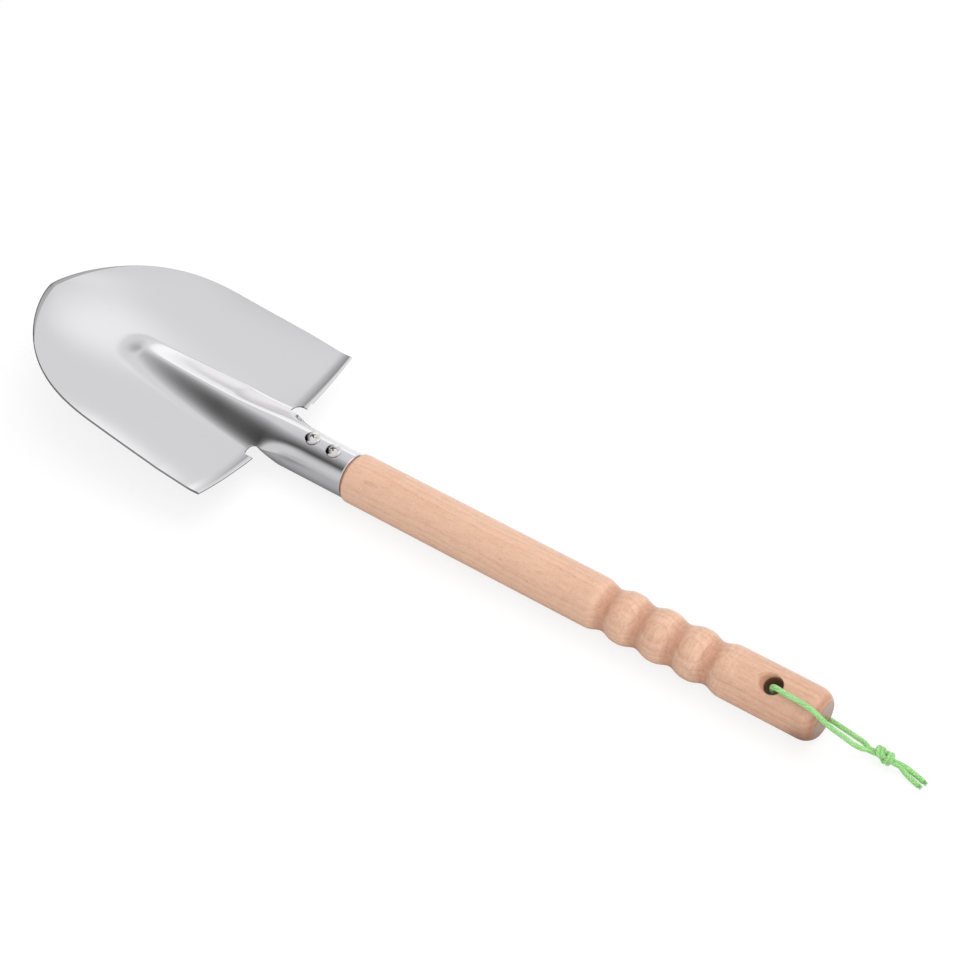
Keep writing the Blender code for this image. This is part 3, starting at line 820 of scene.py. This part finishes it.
def groundDrop(x, y):
    # How much of the top is ground away here, by the distance from the outline.
    p = pressedBlade
    probe = 5e-5
    band = groundBand(math.hypot(headLength - x, y))
    slope = (halfWidth(min(headLength - probe / 5, x + probe)) - halfWidth(x - probe)) / (2 * probe)
    inside = max(0.0, halfWidth(x) - abs(y)) / math.sqrt(1.0 + slope * slope)
    steepness = (p["sheet"] - p["groundEdge"]) / (p["groundWidth"] - p["plainEdge"])
    drop = max(0.0, band + p["plainEdge"] - inside) * steepness if band > 0.0 else 0.0
    return min(drop, p["sheet"] - p["groundEdge"])


def thickenSheet(bm):
    # Grinds the tip, then adds the underside and a rounded edge all round.
    p = pressedBlade
    sheet = p["sheet"]
    ground = bm.faces.layers.float["ground"]
    crease = bm.edges.layers.float["crease"]
    for edge in bm.edges:
        edge[crease] = float(len({face[ground] for face in edge.link_faces}) > 1)
    bm.normal_update()
    tops = list(bm.verts)
    normals = {vert: vert.normal.copy() for vert in tops}
    places = {vert: vert.co.copy() for vert in tops}
    onStrip = {vert for face in bm.faces if face[ground] > 0.0 for vert in face.verts}
    drop = {vert: groundDrop(*vert.co.xy) if vert in onStrip else 0.0 for vert in tops}
    loops = [edge.link_loops[0] for edge in bm.edges if edge.is_boundary]
    rim = [(loop.vert, loop.link_loop_next.vert) for loop in loops]
    outward = {}
    for first, second in rim:
        along = (second.co - first.co).normalized()
        for vert in (first, second):
            outward[vert] = outward.get(vert, Vector()) + along.cross(normals[vert])
    inset = {}
    for vert in outward:
        rounding = p["rimRounding" if places[vert].x < sheet else "edgeRounding"]
        inset[vert] = min(rounding, (sheet - drop[vert]) * p["roundingShare"])
        outward[vert] = outward[vert].normalized() * inset[vert]

    def below(vert, depth):
        return places[vert] - normals[vert] * depth

    under = {}
    for vert in tops:
        under[vert] = bm.verts.new(below(vert, sheet) - outward.get(vert, Vector()))
    rings = {}
    for vert in outward:
        rings[vert] = (bm.verts.new(below(vert, drop[vert] + inset[vert])),
                       bm.verts.new(below(vert, sheet - inset[vert])))
    for face in bm.faces[:]:
        bm.faces.new([under[vert] for vert in reversed(face.verts)])
    for first, second in rim:
        ladder = [(vert, *rings[vert], under[vert]) for vert in (first, second)]
        for index in range(3):
            (a, c), (b, d) = (side[index:index + 2] for side in ladder)
            # the middle face of each edge on the blade is marked for painted shade
            cut = index == 1 and places[first].x > p["neckEnd"] - notchRadius
            bm.faces.new([b, a, c, d])[ground] = 2.0 if cut else 0.0
    for vert in tops:
        vert.co = below(vert, drop[vert]) - outward.get(vert, Vector())


def buildBlade(material):
    bm = bmesh.new()
    ground = bm.faces.layers.float.new("ground")
    bm.edges.layers.float.new("crease")
    grid = sheetGrid
    columns = acrossValues()
    edge = halfWidth(frontRow)
    strip = divided(edge - pressedBlade["plainEdge"], edge, grid["ground"])
    shoulder = columns[grid["neck"] + grid["notch"]:]
    patches = (
        (columns, notchEdge, frontEdge, grid["behind"], bladePoint),
        (strip, notchEdge, frontEdge, grid["behind"], bladePoint),
        (shoulder, shoulderEdge, neckEdge, grid["lip"], bladePoint),
        (strip, shoulderEdge, neckEdge, grid["lip"], bladePoint),
        (columns[:grid["neck"] + 1], rimEdge, wingEdge, grid["socket"], neckPoint),
        (divided(pressedBlade["neckHalf"], seamV, grid["wing"]), rimEdge, wingEdge,
         grid["socket"], wingPoint),
    )
    for side in (1, -1):
        rows, band = bladeRows(columns, side)
        addPatch(bm, rows, side)
        for face in addPatch(bm, band, side):
            middle = face.calc_center_median()
            reach = math.hypot(headLength - middle.x, middle.y)
            face[ground] = 1.0 if reach < pressedBlade["groundLength"] else 0.0
        for values, begin, end, count, maker in patches:
            lines = [divided(begin(value), end(value), count) for value in values]
            addPatch(bm, [[maker(line[row], value, side) for line, value in zip(lines, values)]
                          for row in range(count + 1)], side)
    bmesh.ops.remove_doubles(bm, verts=bm.verts[:], dist=grid["weld"])
    thickenSheet(bm)
    for vert in bm.verts:
        share = (vert.co.x - pressedBlade["leanStart"]) / pressedBlade["leanRun"]
        vert.co.y -= pressedBlade["lean"] * smoothStep(share)
    bmesh.ops.translate(bm, verts=bm.verts[:], vec=(rimX, 0.0, axisZ))
    piece = finishMesh("pressedBlade", bm, material)
    crease = piece.data.attributes["crease"].data
    for edge in piece.data.edges:
        if crease[edge.index].value > 0.5:
            edge.use_edge_sharp = True
    return piece


# Handle: turned to a rule, so a geometry tree turns it
turnedHandle = {
    "Length": rimX - buttX - 0.0008,  # stops just short of the rim
    "Radius": handleRadius,
    "Butt flat": 0.0094,
    "Butt rounding": 0.0076,
    "Butt crease": math.radians(25.0),
    "Grip start": 0.0496,
    "Grooves": 4.0,
    "Groove pitch": 0.0195,
    "Groove depth": 0.0022,
    "Groove narrowness": 1.45,
    "Rim rounding": 0.0019,
    "Rim drop": 0.0025,
    "Rings": 420,
    "Sides": 96,
    "Shank radius": 0.0110,
    "Shank length": 0.0380,
    "Hole from butt": 0.0256,
    "Hole radius": 0.0049,
    "Hole turn": math.radians(21.0),
    "Mouth radius": 0.0069,
    "Mouth shift": 0.0016,
}


def makeHandleTree():
    tree, given, leave = newShapeTree("turnedHandle", inputRows(turnedHandle) + [
        ("Place", "Vector", None)])
    length, radius, place = given["Length"], given["Radius"], given["Place"]
    crowding = 0.9  # of the rings towards both ends
    spare = 0.002  # how far cutters and shank run past what they meet
    cutterSides = 64
    line = addNode(tree, "GeometryNodeCurvePrimitiveLine", {1: (1.0, 0.0, 0.0)})
    fine = addNode(tree, "GeometryNodeResampleCurve", {0: line, 2: given["Rings"]})
    x = separate(tree, addNode(tree, "GeometryNodeInputPosition"))[0]
    packed = x - (x * fullTurn).sin() * (crowding / fullTurn)
    spread = addNode(tree, "GeometryNodeSetPosition", {0: fine, 2: combine(tree, packed * length)})
    # from here on x is read after the move, so in metres
    rounding, crease = given["Butt rounding"], given["Butt crease"]
    cosine = ((rounding - x) / (rounding / crease.cos())).clamped()
    high = (radius - given["Butt flat"]) / (1.0 - crease.sin())
    butt = high * (1.0 - (1.0 - cosine * cosine).root())
    turn = (x - given["Grip start"]) / given["Groove pitch"]
    within = turn.above(0.0) * turn.below(given["Grooves"])
    wave = (0.5 - (turn * fullTurn).cos() * 0.5).power(given["Groove narrowness"])
    groove = wave * given["Groove depth"] * within
    rim = ((x - length) / given["Rim rounding"] + 1.0).clamped()
    edge = (1.0 - (1.0 - rim * rim).larger(0.0).root()) * given["Rim drop"]
    circle = addNode(tree, "GeometryNodeCurvePrimitiveCircle", {0: given["Sides"], 4: 1.0})
    body = addNode(tree, "GeometryNodeCurveToMesh", {
        0: spread, 1: circle, 2: radius - butt - groove - edge, 3: True})
    cut = addNode(tree, "GeometryNodeTransform", {0: body, 1: place})
    # the cross hole and its two countersunk mouths
    reach = radius + spare
    throat = radius - given["Mouth radius"]
    bore = addNode(tree, "GeometryNodeMeshCylinder", {
        0: cutterSides, 3: given["Hole radius"], 4: reach * 2.0})
    mouth = addNode(tree, "GeometryNodeMeshCone", {
        0: cutterSides, 3: reach - throat, 4: 0.0, 5: reach - throat})
    mouthX = given["Hole from butt"] + given["Mouth shift"]
    for shape, along, lift, turned in ((bore, given["Hole from butt"], 0.0, 0.0),
                                       (mouth, mouthX, throat, 0.0),
                                       (mouth, mouthX, throat, math.pi)):
        lifted = addNode(tree, "GeometryNodeTransform", {0: shape, 1: combine(tree, z=lift)})
        cutter = addNode(tree, "GeometryNodeTransform", {
            0: lifted, 1: addVector(tree, "ADD", place, combine(tree, along)),
            2: combine(tree, turned - given["Hole turn"])})
        cut = addNode(tree, "GeometryNodeMeshBoolean", {0: cut, 1: cutter},
                      operation="DIFFERENCE", solver="EXACT")
    shank = addNode(tree, "GeometryNodeMeshCylinder", {
        0: given["Sides"], 3: given["Shank radius"], 4: given["Shank length"] + spare})
    shankX = length + given["Shank length"] * 0.5 - spare / 2
    laid = addNode(tree, "GeometryNodeTransform", {
        0: shank, 1: addVector(tree, "ADD", place, combine(tree, shankX)),
        2: (0.0, math.pi / 2, 0.0)})
    return finishTree(tree, given, leave, joinShapes(tree, cut, laid))


def buildHandle(material):
    return growMesh("turnedHandle", makeHandleTree(), {
        **turnedHandle, "Place": (buttX, 0.0, axisZ), "Material": material})


# Screws: one pan head, shaped as a height over a disc, set on both places by a geometry tree
panHead = {
    "radius": 0.0041,
    "height": 0.0025,
    "rim": 0.0008,
    "fullness": 1.25,
    "footInset": 0.00015,
    "crossReach": 0.0019,
    "crossHalf": 0.00042,
    "crossTaper": (1.15, 0.35),
    "crossDepth": 0.0014,
    "crossSoft": (0.00016, 0.0009),  # how soon the walls and the ends fall
    "crossCentre": (0.0011, 0.0006, 0.25),  # reach, softness and share of the deeper middle
    "flatShare": 0.8,  # beyond it the rings crowd towards the edge
    "rings": 44,
    "sides": 96,
    "turns": (math.radians(38.0), math.radians(62.0)),
    "shifts": (0.0002, -0.0008),  # along the handle
    "leans": (math.radians(5.0), math.radians(0.0)),
    "lift": 0.0001,
}


def headSurface(radius, angle):
    # Height of the head over its seat, and how deep the cross is cut there.
    p = panHead
    share = max(0.0, 1.0 - min(1.0, radius / p["radius"]) ** (2 / p["fullness"]))
    dome = p["rim"] + (p["height"] - p["rim"]) * math.sqrt(share)
    x, y = abs(radius * math.cos(angle)), abs(radius * math.sin(angle))
    wide, narrowing = p["crossTaper"]
    cut = 0.0
    for along, aside in ((x, y), (y, x)):
        half = p["crossHalf"] * (wide - narrowing * along / p["crossReach"])
        width = smoothStep((half - aside) / p["crossSoft"][0])
        cut = max(cut, width * smoothStep((p["crossReach"] - along) / p["crossSoft"][1]))
    reach, soft, deeper = p["crossCentre"]
    centre = smoothStep((reach - radius) / soft)
    return dome - p["crossDepth"] * cut * (1.0 - deeper + deeper * centre), cut


def buildHead(material):
    p = panHead
    bm = bmesh.new()
    layer = bm.verts.layers.float.new("recess")

    def addRing(radius, surface, sides=p["sides"]):
        ring = []
        for side in range(sides):
            angle = fullTurn * side / p["sides"]
            height, cut = surface(radius, angle)
            vert = bm.verts.new((radius * math.cos(angle), radius * math.sin(angle), height))
            vert[layer] = cut
            ring.append(vert)
        return ring

    rings = []
    flat = p["flatShare"]
    for share in divided(0.0, 1.0, p["rings"]):
        if share >= flat:
            share = flat + (1.0 - flat) * math.sin((share - flat) / (1.0 - flat) * math.pi / 2)
        rings.append(addRing(p["radius"] * share, headSurface, p["sides"] if rings else 1))
    rings.append(addRing(p["radius"] - p["footInset"], lambda radius, angle: (0.0, 0.0)))
    for near, far in zip(rings, rings[1:]):
        for side in range(p["sides"]):
            after = (side + 1) % p["sides"]
            corners = [near[side % len(near)], far[side], far[after], near[after % len(near)]]
            bm.faces.new(list(dict.fromkeys(corners)))
    bm.faces.new(rings[-1][::-1])
    return finishMesh("panHead", bm, material)


def makeScrewTree():
    tree, given, leave = newShapeTree("socketScrews", [
        ("First place", "Vector", None), ("Spacing", "Vector", None), ("Count", "Int", 2),
        ("First turn", "Float", 0.0), ("Turn step", "Float", 0.0),
        ("Seat radius", "Float", 0.0125), ("First lean", "Float", 0.0),
        ("Lean step", "Float", 0.0), ("Head", "Object", None),
        ("Shank radius", "Float", 0.00175), ("Shank length", "Float", 0.0140)])
    places = addNode(tree, "GeometryNodeMeshLine", {
        0: given["Count"], 2: given["First place"], 3: given["Spacing"]})
    head = addNode(tree, "GeometryNodeObjectInfo", {0: given["Head"]})
    shank = addNode(tree, "GeometryNodeMeshCylinder", {
        0: 24, 3: given["Shank radius"], 4: given["Shank length"]})
    drop = combine(tree, z=given["Shank length"] * -0.5 + panHead["lift"])
    low = addNode(tree, "GeometryNodeTransform", {0: shank, 1: drop})
    whole = joinShapes(tree, head.outputs["Geometry"], low)
    index = Term(addNode(tree, "GeometryNodeInputIndex"))
    lean = given["First lean"] + index * given["Lean step"]
    turn = given["First turn"] + index * given["Turn step"]
    aside = combine(tree, 0.0, lean.sin() * given["Seat radius"],
                    (lean.cos() - 1.0) * given["Seat radius"])
    seats = addNode(tree, "GeometryNodeSetPosition", {0: places, 3: aside})
    driven = addNode(tree, "GeometryNodeInstanceOnPoints", {
        0: seats, 2: whole, 5: combine(tree, lean * -1.0)})
    turned = addNode(tree, "GeometryNodeRotateInstances", {0: driven, 2: combine(tree, z=turn)})
    return finishTree(tree, given, leave, turned)


def buildScrews(material):
    places = []
    for name, shift in zip(("socket_screw_1", "socket_screw_2"), panHead["shifts"]):
        low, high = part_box(name)
        places.append((low[0] + high[0]) / 2 + shift)
    seat = axisZ + pressedBlade["socketRadius"] + panHead["lift"]
    head = buildHead(material)
    turns, leans = panHead["turns"], panHead["leans"]
    piece = growMesh("socketScrews", makeScrewTree(), {
        "First place": (places[0], 0.0, seat),
        "Spacing": (places[1] - places[0], 0.0, 0.0),
        "Seat radius": seat - axisZ,
        "First lean": leans[0],
        "Lean step": leans[1] - leans[0],
        "Count": 2,
        "First turn": turns[0],
        "Turn step": turns[1] - turns[0],
        "Head": head,
        "Material": material,
    })
    bpy.data.objects.remove(head, do_unlink=True)
    return piece


# Cord: route as in the solids, (distance ahead of the butt, y, height)
cordRoute = {
    "diameter": 0.0025,
    "upperStrand": (
        (0.0261, 0.0030, 0.0188), (0.0260, 0.0048, 0.0230), (0.0250, 0.0062, 0.0265),
        (0.0224, 0.0071, 0.0278), (0.0194, 0.0073, 0.0274), (0.0160, 0.0073, 0.0271),
        (0.0121, 0.0073, 0.0270), (0.0079, 0.0075, 0.0268), (0.0034, 0.0081, 0.0268),
        (-0.0018, 0.0088, 0.0251), (-0.0056, 0.0068, 0.0197), (-0.0086, 0.0030, 0.0136),
        (-0.0120, 0.0004, 0.0091), (-0.0161, -0.0007, 0.0061), (-0.0194, -0.0018, 0.0047),
    ),
    "lowerStrand": (
        (0.0255, -0.0022, 0.0080), (0.0254, -0.0047, 0.0038), (0.0246, -0.0083, 0.0014),
        (0.0224, -0.0113, 0.0014), (0.0188, -0.0126, 0.0016), (0.0144, -0.0123, 0.0017),
        (0.0094, -0.0116, 0.0018), (0.0039, -0.0109, 0.0018), (-0.0016, -0.0103, 0.0018),
        (-0.0076, -0.0094, 0.0019), (-0.0131, -0.0084, 0.0023), (-0.0171, -0.0073, 0.0031),
        (-0.0196, -0.0062, 0.0038),
    ),
    "upperTail": (
        (-0.0410, -0.0030, 0.0028), (-0.0440, -0.0022, 0.0021), (-0.0472, -0.0013, 0.0016),
        (-0.0506, -0.0005, 0.0014),
    ),
    "lowerTail": (
        (-0.0410, -0.0054, 0.0030), (-0.0440, -0.0054, 0.0022), (-0.0476, -0.0048, 0.0017),
        (-0.0516, -0.0038, 0.0014),
    ),
    "knotCentre": (-0.0307, -0.0041, 0.0051),
    "knotLength": 0.0066,
    "knotLead": 0.12,
    "knotInner": 0.0011,
    "knotOuter": 0.0029,
    "knotFullness": 0.5,
    "knotEase": 0.3,
    "knotSpacing": 0.0017,
    "knotSteps": 36,
    "knotPressed": 0.0075,
    "knotSqueeze": 0.78,
}


def knotPoints(side):
    # One of the two cords through the overhand knot, from the handle outwards.
    p = cordRoute
    axis = Vector((-1.0, 0.0, 0.0))
    down = Vector((0.0, 0.0, -1.0))
    across = axis.cross(down)
    centre = []
    outward = []
    for s in divided(-p["knotLead"], 1.0 + p["knotLead"], p["knotSteps"] - 1):
        core = min(5 / 6, max(1 / 6, s))
        along = p["knotLength"] / 2 * (3 * math.pi * (s - core) - math.cos(3 * math.pi * core))
        swell = math.sin(math.pi * clipped((s - 1 / 6) * 1.5)) ** p["knotFullness"]
        radius = p["knotInner"] + (p["knotOuter"] - p["knotInner"]) * swell
        share = clipped(s)
        angle = 2 * fullTurn * share - 2 * p["knotEase"] * math.sin(fullTurn * share)
        outward.append(down * math.cos(angle) + across * math.sin(angle))
        centre.append(Vector(p["knotCentre"]) + axis * along + outward[-1] * radius)
    points = []
    for index, point in enumerate(centre):
        aside = headingAt(centre, index).cross(outward[index]).normalized()
        points.append(point + aside * side * p["knotSpacing"] / 2)
    return points


def addSpline(name, form, points):
    data = bpy.data.curves.new(name, "CURVE")
    data.dimensions = "3D"
    spline = data.splines.new(form)
    spline.points.add(len(points) - 1)
    for place, point in zip(spline.points, points):
        place.co = (*point, 1.0)
    return linkObject(name, data), spline


def cordPath():
    # The whole centreline as a smooth curve's points, tail to tail, and where its middle is.
    halves = []
    for strand, tail, side in (("upperStrand", "upperTail", -1), ("lowerStrand", "lowerTail", 1)):
        ends = [[Vector(point) for point in cordRoute[part]] for part in (strand, tail)]
        halves.append(ends[0] + knotPoints(side) + ends[1])
    middle = Vector((turnedHandle["Hole from butt"], 0.0, axisZ))
    controls = halves[0][::-1] + [middle] + halves[1]
    controls.insert(0, controls[0] * 2 - controls[1])
    controls.append(controls[-1] * 2 - controls[-2])
    route, spline = addSpline("route", "NURBS", [
        (point.x + buttX, point.y, point.z) for point in controls])
    spline.order_u = 4
    spline.resolution_u = 12
    mesh = route.evaluated_get(bpy.context.evaluated_depsgraph_get()).to_mesh()
    points = [vert.co.copy() for vert in mesh.vertices]
    bpy.data.objects.remove(route, do_unlink=True)
    inBore = middle + Vector((buttX, 0.0, 0.0))
    return points, min(range(len(points)), key=lambda index: (points[index] - inBore).length)


braidedCord = {
    "Diameter": cordRoute["diameter"],
    "Ring spacing": 0.00022,
    "Sides": 64,
    "Yarns": 8.0,
    "Pitch": 0.0090,
    "Relief": 0.00030,
    "Fibres": 46,
    "Fibre length": 0.0022,
    "Seed": 4,
}
weave = {
    "bumpPower": 0.6,
    "underShare": 0.45,  # how much the strand below lifts the one on top
    "middle": 0.75,  # height that the cord's own surface stands for
    "turnsAdded": 64.0,  # keeps the count of the second set above 0
    "nameGap": 31.0,
    "dice": (12.9898, 43758.5),  # gives each strand a tone of its own
}
cutEnd = {
    "spread": (0.15, 0.9),
    "sunk": 0.0006,
    "fibreRadius": 0.00007,
    "fibreSides": 5,
    "leans": ((-0.45, -0.45, 0.0), (0.45, 0.45, 3.0)),
    "sizes": ((1.0, 1.0, 0.25), (1.0, 1.0, 0.85)),
    "height": 0.7,  # in the weave, for the colour
}


def randomVector(tree, bounds, seed):
    return addNode(tree, "FunctionNodeRandomValue", {0: bounds[0], 1: bounds[1], 8: seed},
                   data_type="FLOAT_VECTOR")


def storeMark(tree, shape, name, value):
    return addNode(tree, "GeometryNodeStoreNamedAttribute", {0: shape, 2: name, 3: value})


def makeCordTree():
    tree, given, leave = newShapeTree("braidedCord", [
        ("Geometry", "Geometry", None)] + inputRows(braidedCord))
    diameter, pitch, yarns = given["Diameter"], given["Pitch"], given["Yarns"]
    fine = addNode(tree, "GeometryNodeResampleCurve", {
        0: given["Geometry"], 3: given["Ring spacing"]}, mode="LENGTH")
    circle = addNode(tree, "GeometryNodeCurvePrimitiveCircle", {0: given["Sides"], 4: 1.0})
    reading = addNode(tree, "GeometryNodeSplineParameter")
    kept = []
    for curve, name, output in ((fine, "along", "Length"), (circle, "around", "Factor")):
        made = addNode(tree, "GeometryNodeCaptureAttribute", {0: curve})
        made.capture_items.new("FLOAT", name)
        feed(made.inputs[1], reading.outputs[output])
        kept.append(made)
    thin = Term(addNode(tree, "GeometryNodeInputRadius"))
    tube = addNode(tree, "GeometryNodeCurveToMesh", {
        0: kept[0], 1: kept[1], 2: thin * (diameter * 0.5), 3: True})
    along, around = Term(kept[0].outputs[1]), Term(kept[1].outputs[1])
    right = (around + along / pitch) * yarns
    left = (around - along / pitch + weave["turnsAdded"]) * yarns
    checker = ((right.floor() + left.floor()) * 0.5).fract() * 2.0  # which set lies on top
    rightBump = (right.fract() * math.pi).sin().power(weave["bumpPower"])
    leftBump = (left.fract() * math.pi).sin().power(weave["bumpPower"])
    under = weave["underShare"]
    onTop = checker * rightBump * (leftBump * under + (1.0 - under))
    onTop = onTop + (1.0 - checker) * leftBump * (rightBump * under + (1.0 - under))
    name = checker * right.floor() + (1.0 - checker) * (left.floor() + weave["nameGap"])
    dice = (name * weave["dice"][0]).sin() * weave["dice"][1]
    lift = scaleVector(tree, addNode(tree, "GeometryNodeInputNormal"),
                       (onTop - weave["middle"]) * given["Relief"])
    woven = addNode(tree, "GeometryNodeSetPosition", {0: tube, 3: lift})
    woven = storeMark(tree, storeMark(tree, woven, "braid", onTop), "yarn", dice.fract())
    # a tuft of fibres at the cut end
    v = cutEnd
    end = addNode(tree, "GeometryNodeSampleCurve", {0: fine, 2: 1.0}, mode="FACTOR")
    disc = addNode(tree, "GeometryNodeMeshCircle", {0: given["Fibres"], 1: diameter * 0.5},
                   fill_type="NONE")
    scatter = addNode(tree, "FunctionNodeRandomValue", {
        2: v["spread"][0], 3: v["spread"][1], 8: given["Seed"]}, data_type="FLOAT")
    inward = scaleVector(tree, addNode(tree, "GeometryNodeInputPosition"), scatter.outputs[1])
    roots = addNode(tree, "GeometryNodeSetPosition", {0: disc, 2: inward})
    line = addNode(tree, "GeometryNodeCurvePrimitiveLine", {
        0: (0.0, 0.0, -v["sunk"]), 1: combine(tree, z=given["Fibre length"])})
    ring = addNode(tree, "GeometryNodeCurvePrimitiveCircle", {
        0: v["fibreSides"], 4: v["fibreRadius"]})
    fibre = addNode(tree, "GeometryNodeCurveToMesh", {0: line, 1: ring, 3: True})
    lean = randomVector(tree, v["leans"], given["Seed"])
    size = randomVector(tree, v["sizes"], given["Seed"])
    tuft = addNode(tree, "GeometryNodeInstanceOnPoints", {0: roots, 2: fibre, 5: lean, 6: size})
    facing = addNode(tree, "FunctionNodeAlignRotationToVector", {2: end.outputs["Tangent"]},
                     axis="Z")
    placed = addNode(tree, "GeometryNodeTransform", {
        0: tuft, 1: end.outputs["Position"], 2: facing})
    placed = storeMark(tree, addNode(tree, "GeometryNodeRealizeInstances", {0: placed}),
                       "braid", v["height"])
    return finishTree(tree, given, leave, joinShapes(tree, woven, placed))


def buildCord(material):
    # Two strands, each from the middle of the hole through the knot to its own tail.
    p = cordRoute
    points, middle = cordPath()
    tree = makeCordTree()
    strands = []
    for name, path in (("cordUpper", points[middle::-1]), ("cordLower", points[middle:])):
        start, spline = addSpline(name + "Path", "POLY", path)
        for place, point in zip(spline.points, path):
            away = abs(point.x - buttX - p["knotCentre"][0]) - p["knotPressed"]
            place.radius = p["knotSqueeze"] + (1.0 - p["knotSqueeze"]) * smoothStep(
                away / (p["knotPressed"] / 2))
        piece = growMesh(name, tree, {**braidedCord, "Material": material}, start)
        length = sum((after - before).length for before, after in zip(path, path[1:]))
        strands.append((piece, path, length))
    return strands


# Floor and light
studio = {
    "floorColour": (0.93, 0.93, 0.93),
    "floorRoughness": 0.8,
    "floorSize": 4.0,
    "floorClouds": 3.0,
    "floorCloudTone": 0.99,
    "shadedFloor": (0.42, 0.42, 0.42),  # what the steel mirrors close by on the near side
    "dimFloor": (0.58, 0.58, 0.58),
    "shadeFrom": (-0.008, 0.004),
    "dimTo": (0.04, 0.30),
    "shadowFade": 0.80,  # the table glows a little, so shadows stay faint
    "roomLevel": 0.795,
    # (azimuth, elevation, inner angle, outer angle, level), each laid over the ones before it
    "softboxes": (
        (-60.0, 8.0, 9.0, 21.0, 1.05),  # pale far wall, seen in the crest
        (-24.0, 14.0, 10.0, 24.0, 0.62),  # dim doorway, seen in the rib's nose
        (-152.0, 18.0, 8.0, 24.0, 1.25),  # window behind the handle, seen in the rim
        (-76.0, 60.2, 4.5, 16.5, 1.22),  # overhead box, seen ahead of the rib
        (27.8, -9.0, 52.0, 90.0, 0.0),  # unlit side, seen in the near flank
        (102.0, 17.8, 39.0, 56.0, 0.735),  # pale card on the near side
        (-42.7, 66.3, 5.0, 17.0, 0.82),  # panel above the far wing
        (-92.0, 57.5, 4.5, 16.5, 0.56),  # gap in the ceiling, seen at the tip
        (-60.8, 20.0, 2.0, 9.0, 1.22),  # lamp on the far wall, seen in the far flank
    ),
    "seenLevel": 0.97,
    # name, power, size, place; both shine at the middle of the tool
    "lamps": (
        ("keyLight", 9.4, 1.2, (-0.15, -0.50, 1.35)),
        ("fillLight", 9.0, 1.4, (-0.60, 0.95, 1.20)),
    ),
}


def addFloor():
    v = studio
    bm = bmesh.new()
    bmesh.ops.create_grid(bm, x_segments=8, y_segments=8, size=v["floorSize"])
    material, tree, shader, place = startMaterial("paleFloor", {
        "Roughness": v["floorRoughness"], "Emission Strength": 1.0})
    path = addNode(tree, "ShaderNodeLightPath")
    seen, mirrored = Term(path.outputs["Is Camera Ray"]), Term(path.outputs["Is Glossy Ray"])
    clouds = addNoise(tree, place, v["floorClouds"], detail=2.0)
    tone = blendColour(tree, clouds, v["floorColour"],
                       darker(v["floorColour"], v["floorCloudTone"]))
    side = separate(tree, place)[1]
    dim = blendColour(tree, side.step(*v["dimTo"]), v["shadedFloor"], v["dimFloor"])
    shade = blendColour(tree, side.step(*v["shadeFrom"]) * mirrored, tone, dim)
    fade = v["shadowFade"]
    feed(shader.inputs["Base Color"],
         blendColour(tree, seen, shade, darker(v["floorColour"], 1.0 - fade)))
    feed(shader.inputs["Emission Color"],
         blendColour(tree, seen, (0.0, 0.0, 0.0), (fade, fade, fade)))
    finishMesh("paleFloor", bm, material)


def wayTo(azimuth, elevation):
    azimuth, elevation = math.radians(azimuth), math.radians(elevation)
    return (math.cos(elevation) * math.cos(azimuth), math.cos(elevation) * math.sin(azimuth),
            math.sin(elevation))


def addLight():
    scene = bpy.context.scene
    world = bpy.data.worlds.new("studio")
    scene.world = world
    world.use_nodes = True
    tree = world.node_tree
    background = tree.nodes["Background"]
    look = addNode(tree, "ShaderNodeTexCoord").outputs["Generated"]
    level = studio["roomLevel"]
    for azimuth, elevation, inner, outer, strength in studio["softboxes"]:
        facing = addVector(tree, "DOT_PRODUCT", look, wayTo(azimuth, elevation))
        away = Term(facing.outputs["Value"]).arccos()
        share = 1.0 - away.step(math.radians(inner), math.radians(outer))
        level = (1.0 - share) * level + share * strength
    seen = Term(addNode(tree, "ShaderNodeLightPath").outputs["Is Camera Ray"])
    feed(background.inputs["Strength"], level * (1.0 - seen) + seen * studio["seenLevel"])
    background.inputs["Color"].default_value = (1.0, 1.0, 1.0, 1.0)
    for name, power, size, place in studio["lamps"]:
        data = bpy.data.lights.new(name, "AREA")
        data.energy = power
        data.size = size
        light = linkObject(name, data)
        light.location = place
        light.rotation_euler = (-Vector(place)).to_track_quat("-Z", "Y").to_euler()
        light.visible_glossy = False
    scene.view_settings.view_transform = "Standard"  # whites stay white


addCamera()
strands = buildCord(makeBraid())
print("cord made")
blade = buildBlade(makeSteel())
print("blade made")
handle = buildHandle(makeBeech())
print("handle made")
screws = buildScrews(makeScrewSteel())
print("screws made")
addFloor()
addLight()
print("floor and light made")

for piece, nodes, slot in ((blade, ("blade",), "pressed_steel"),
                           (handle, ("handle",), "beech"),
                           (screws, ("socket_screw_1", "socket_screw_2"), "bright_steel")):
    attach(piece, "root")
    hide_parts(*nodes)
holeTurn = turnedHandle["Hole turn"]
holeUp = Vector((0.0, math.sin(holeTurn), math.cos(holeTurn)))
holeMiddle = Vector((buttX + turnedHandle["Hole from butt"], 0.0, axisZ))
for (piece, path, length), way in zip(strands, (1, -1)):
    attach(piece, "root")
    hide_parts("hanging_cord")
    holeMiddle + holeUp * handleRadius * way
print("pieces placed")
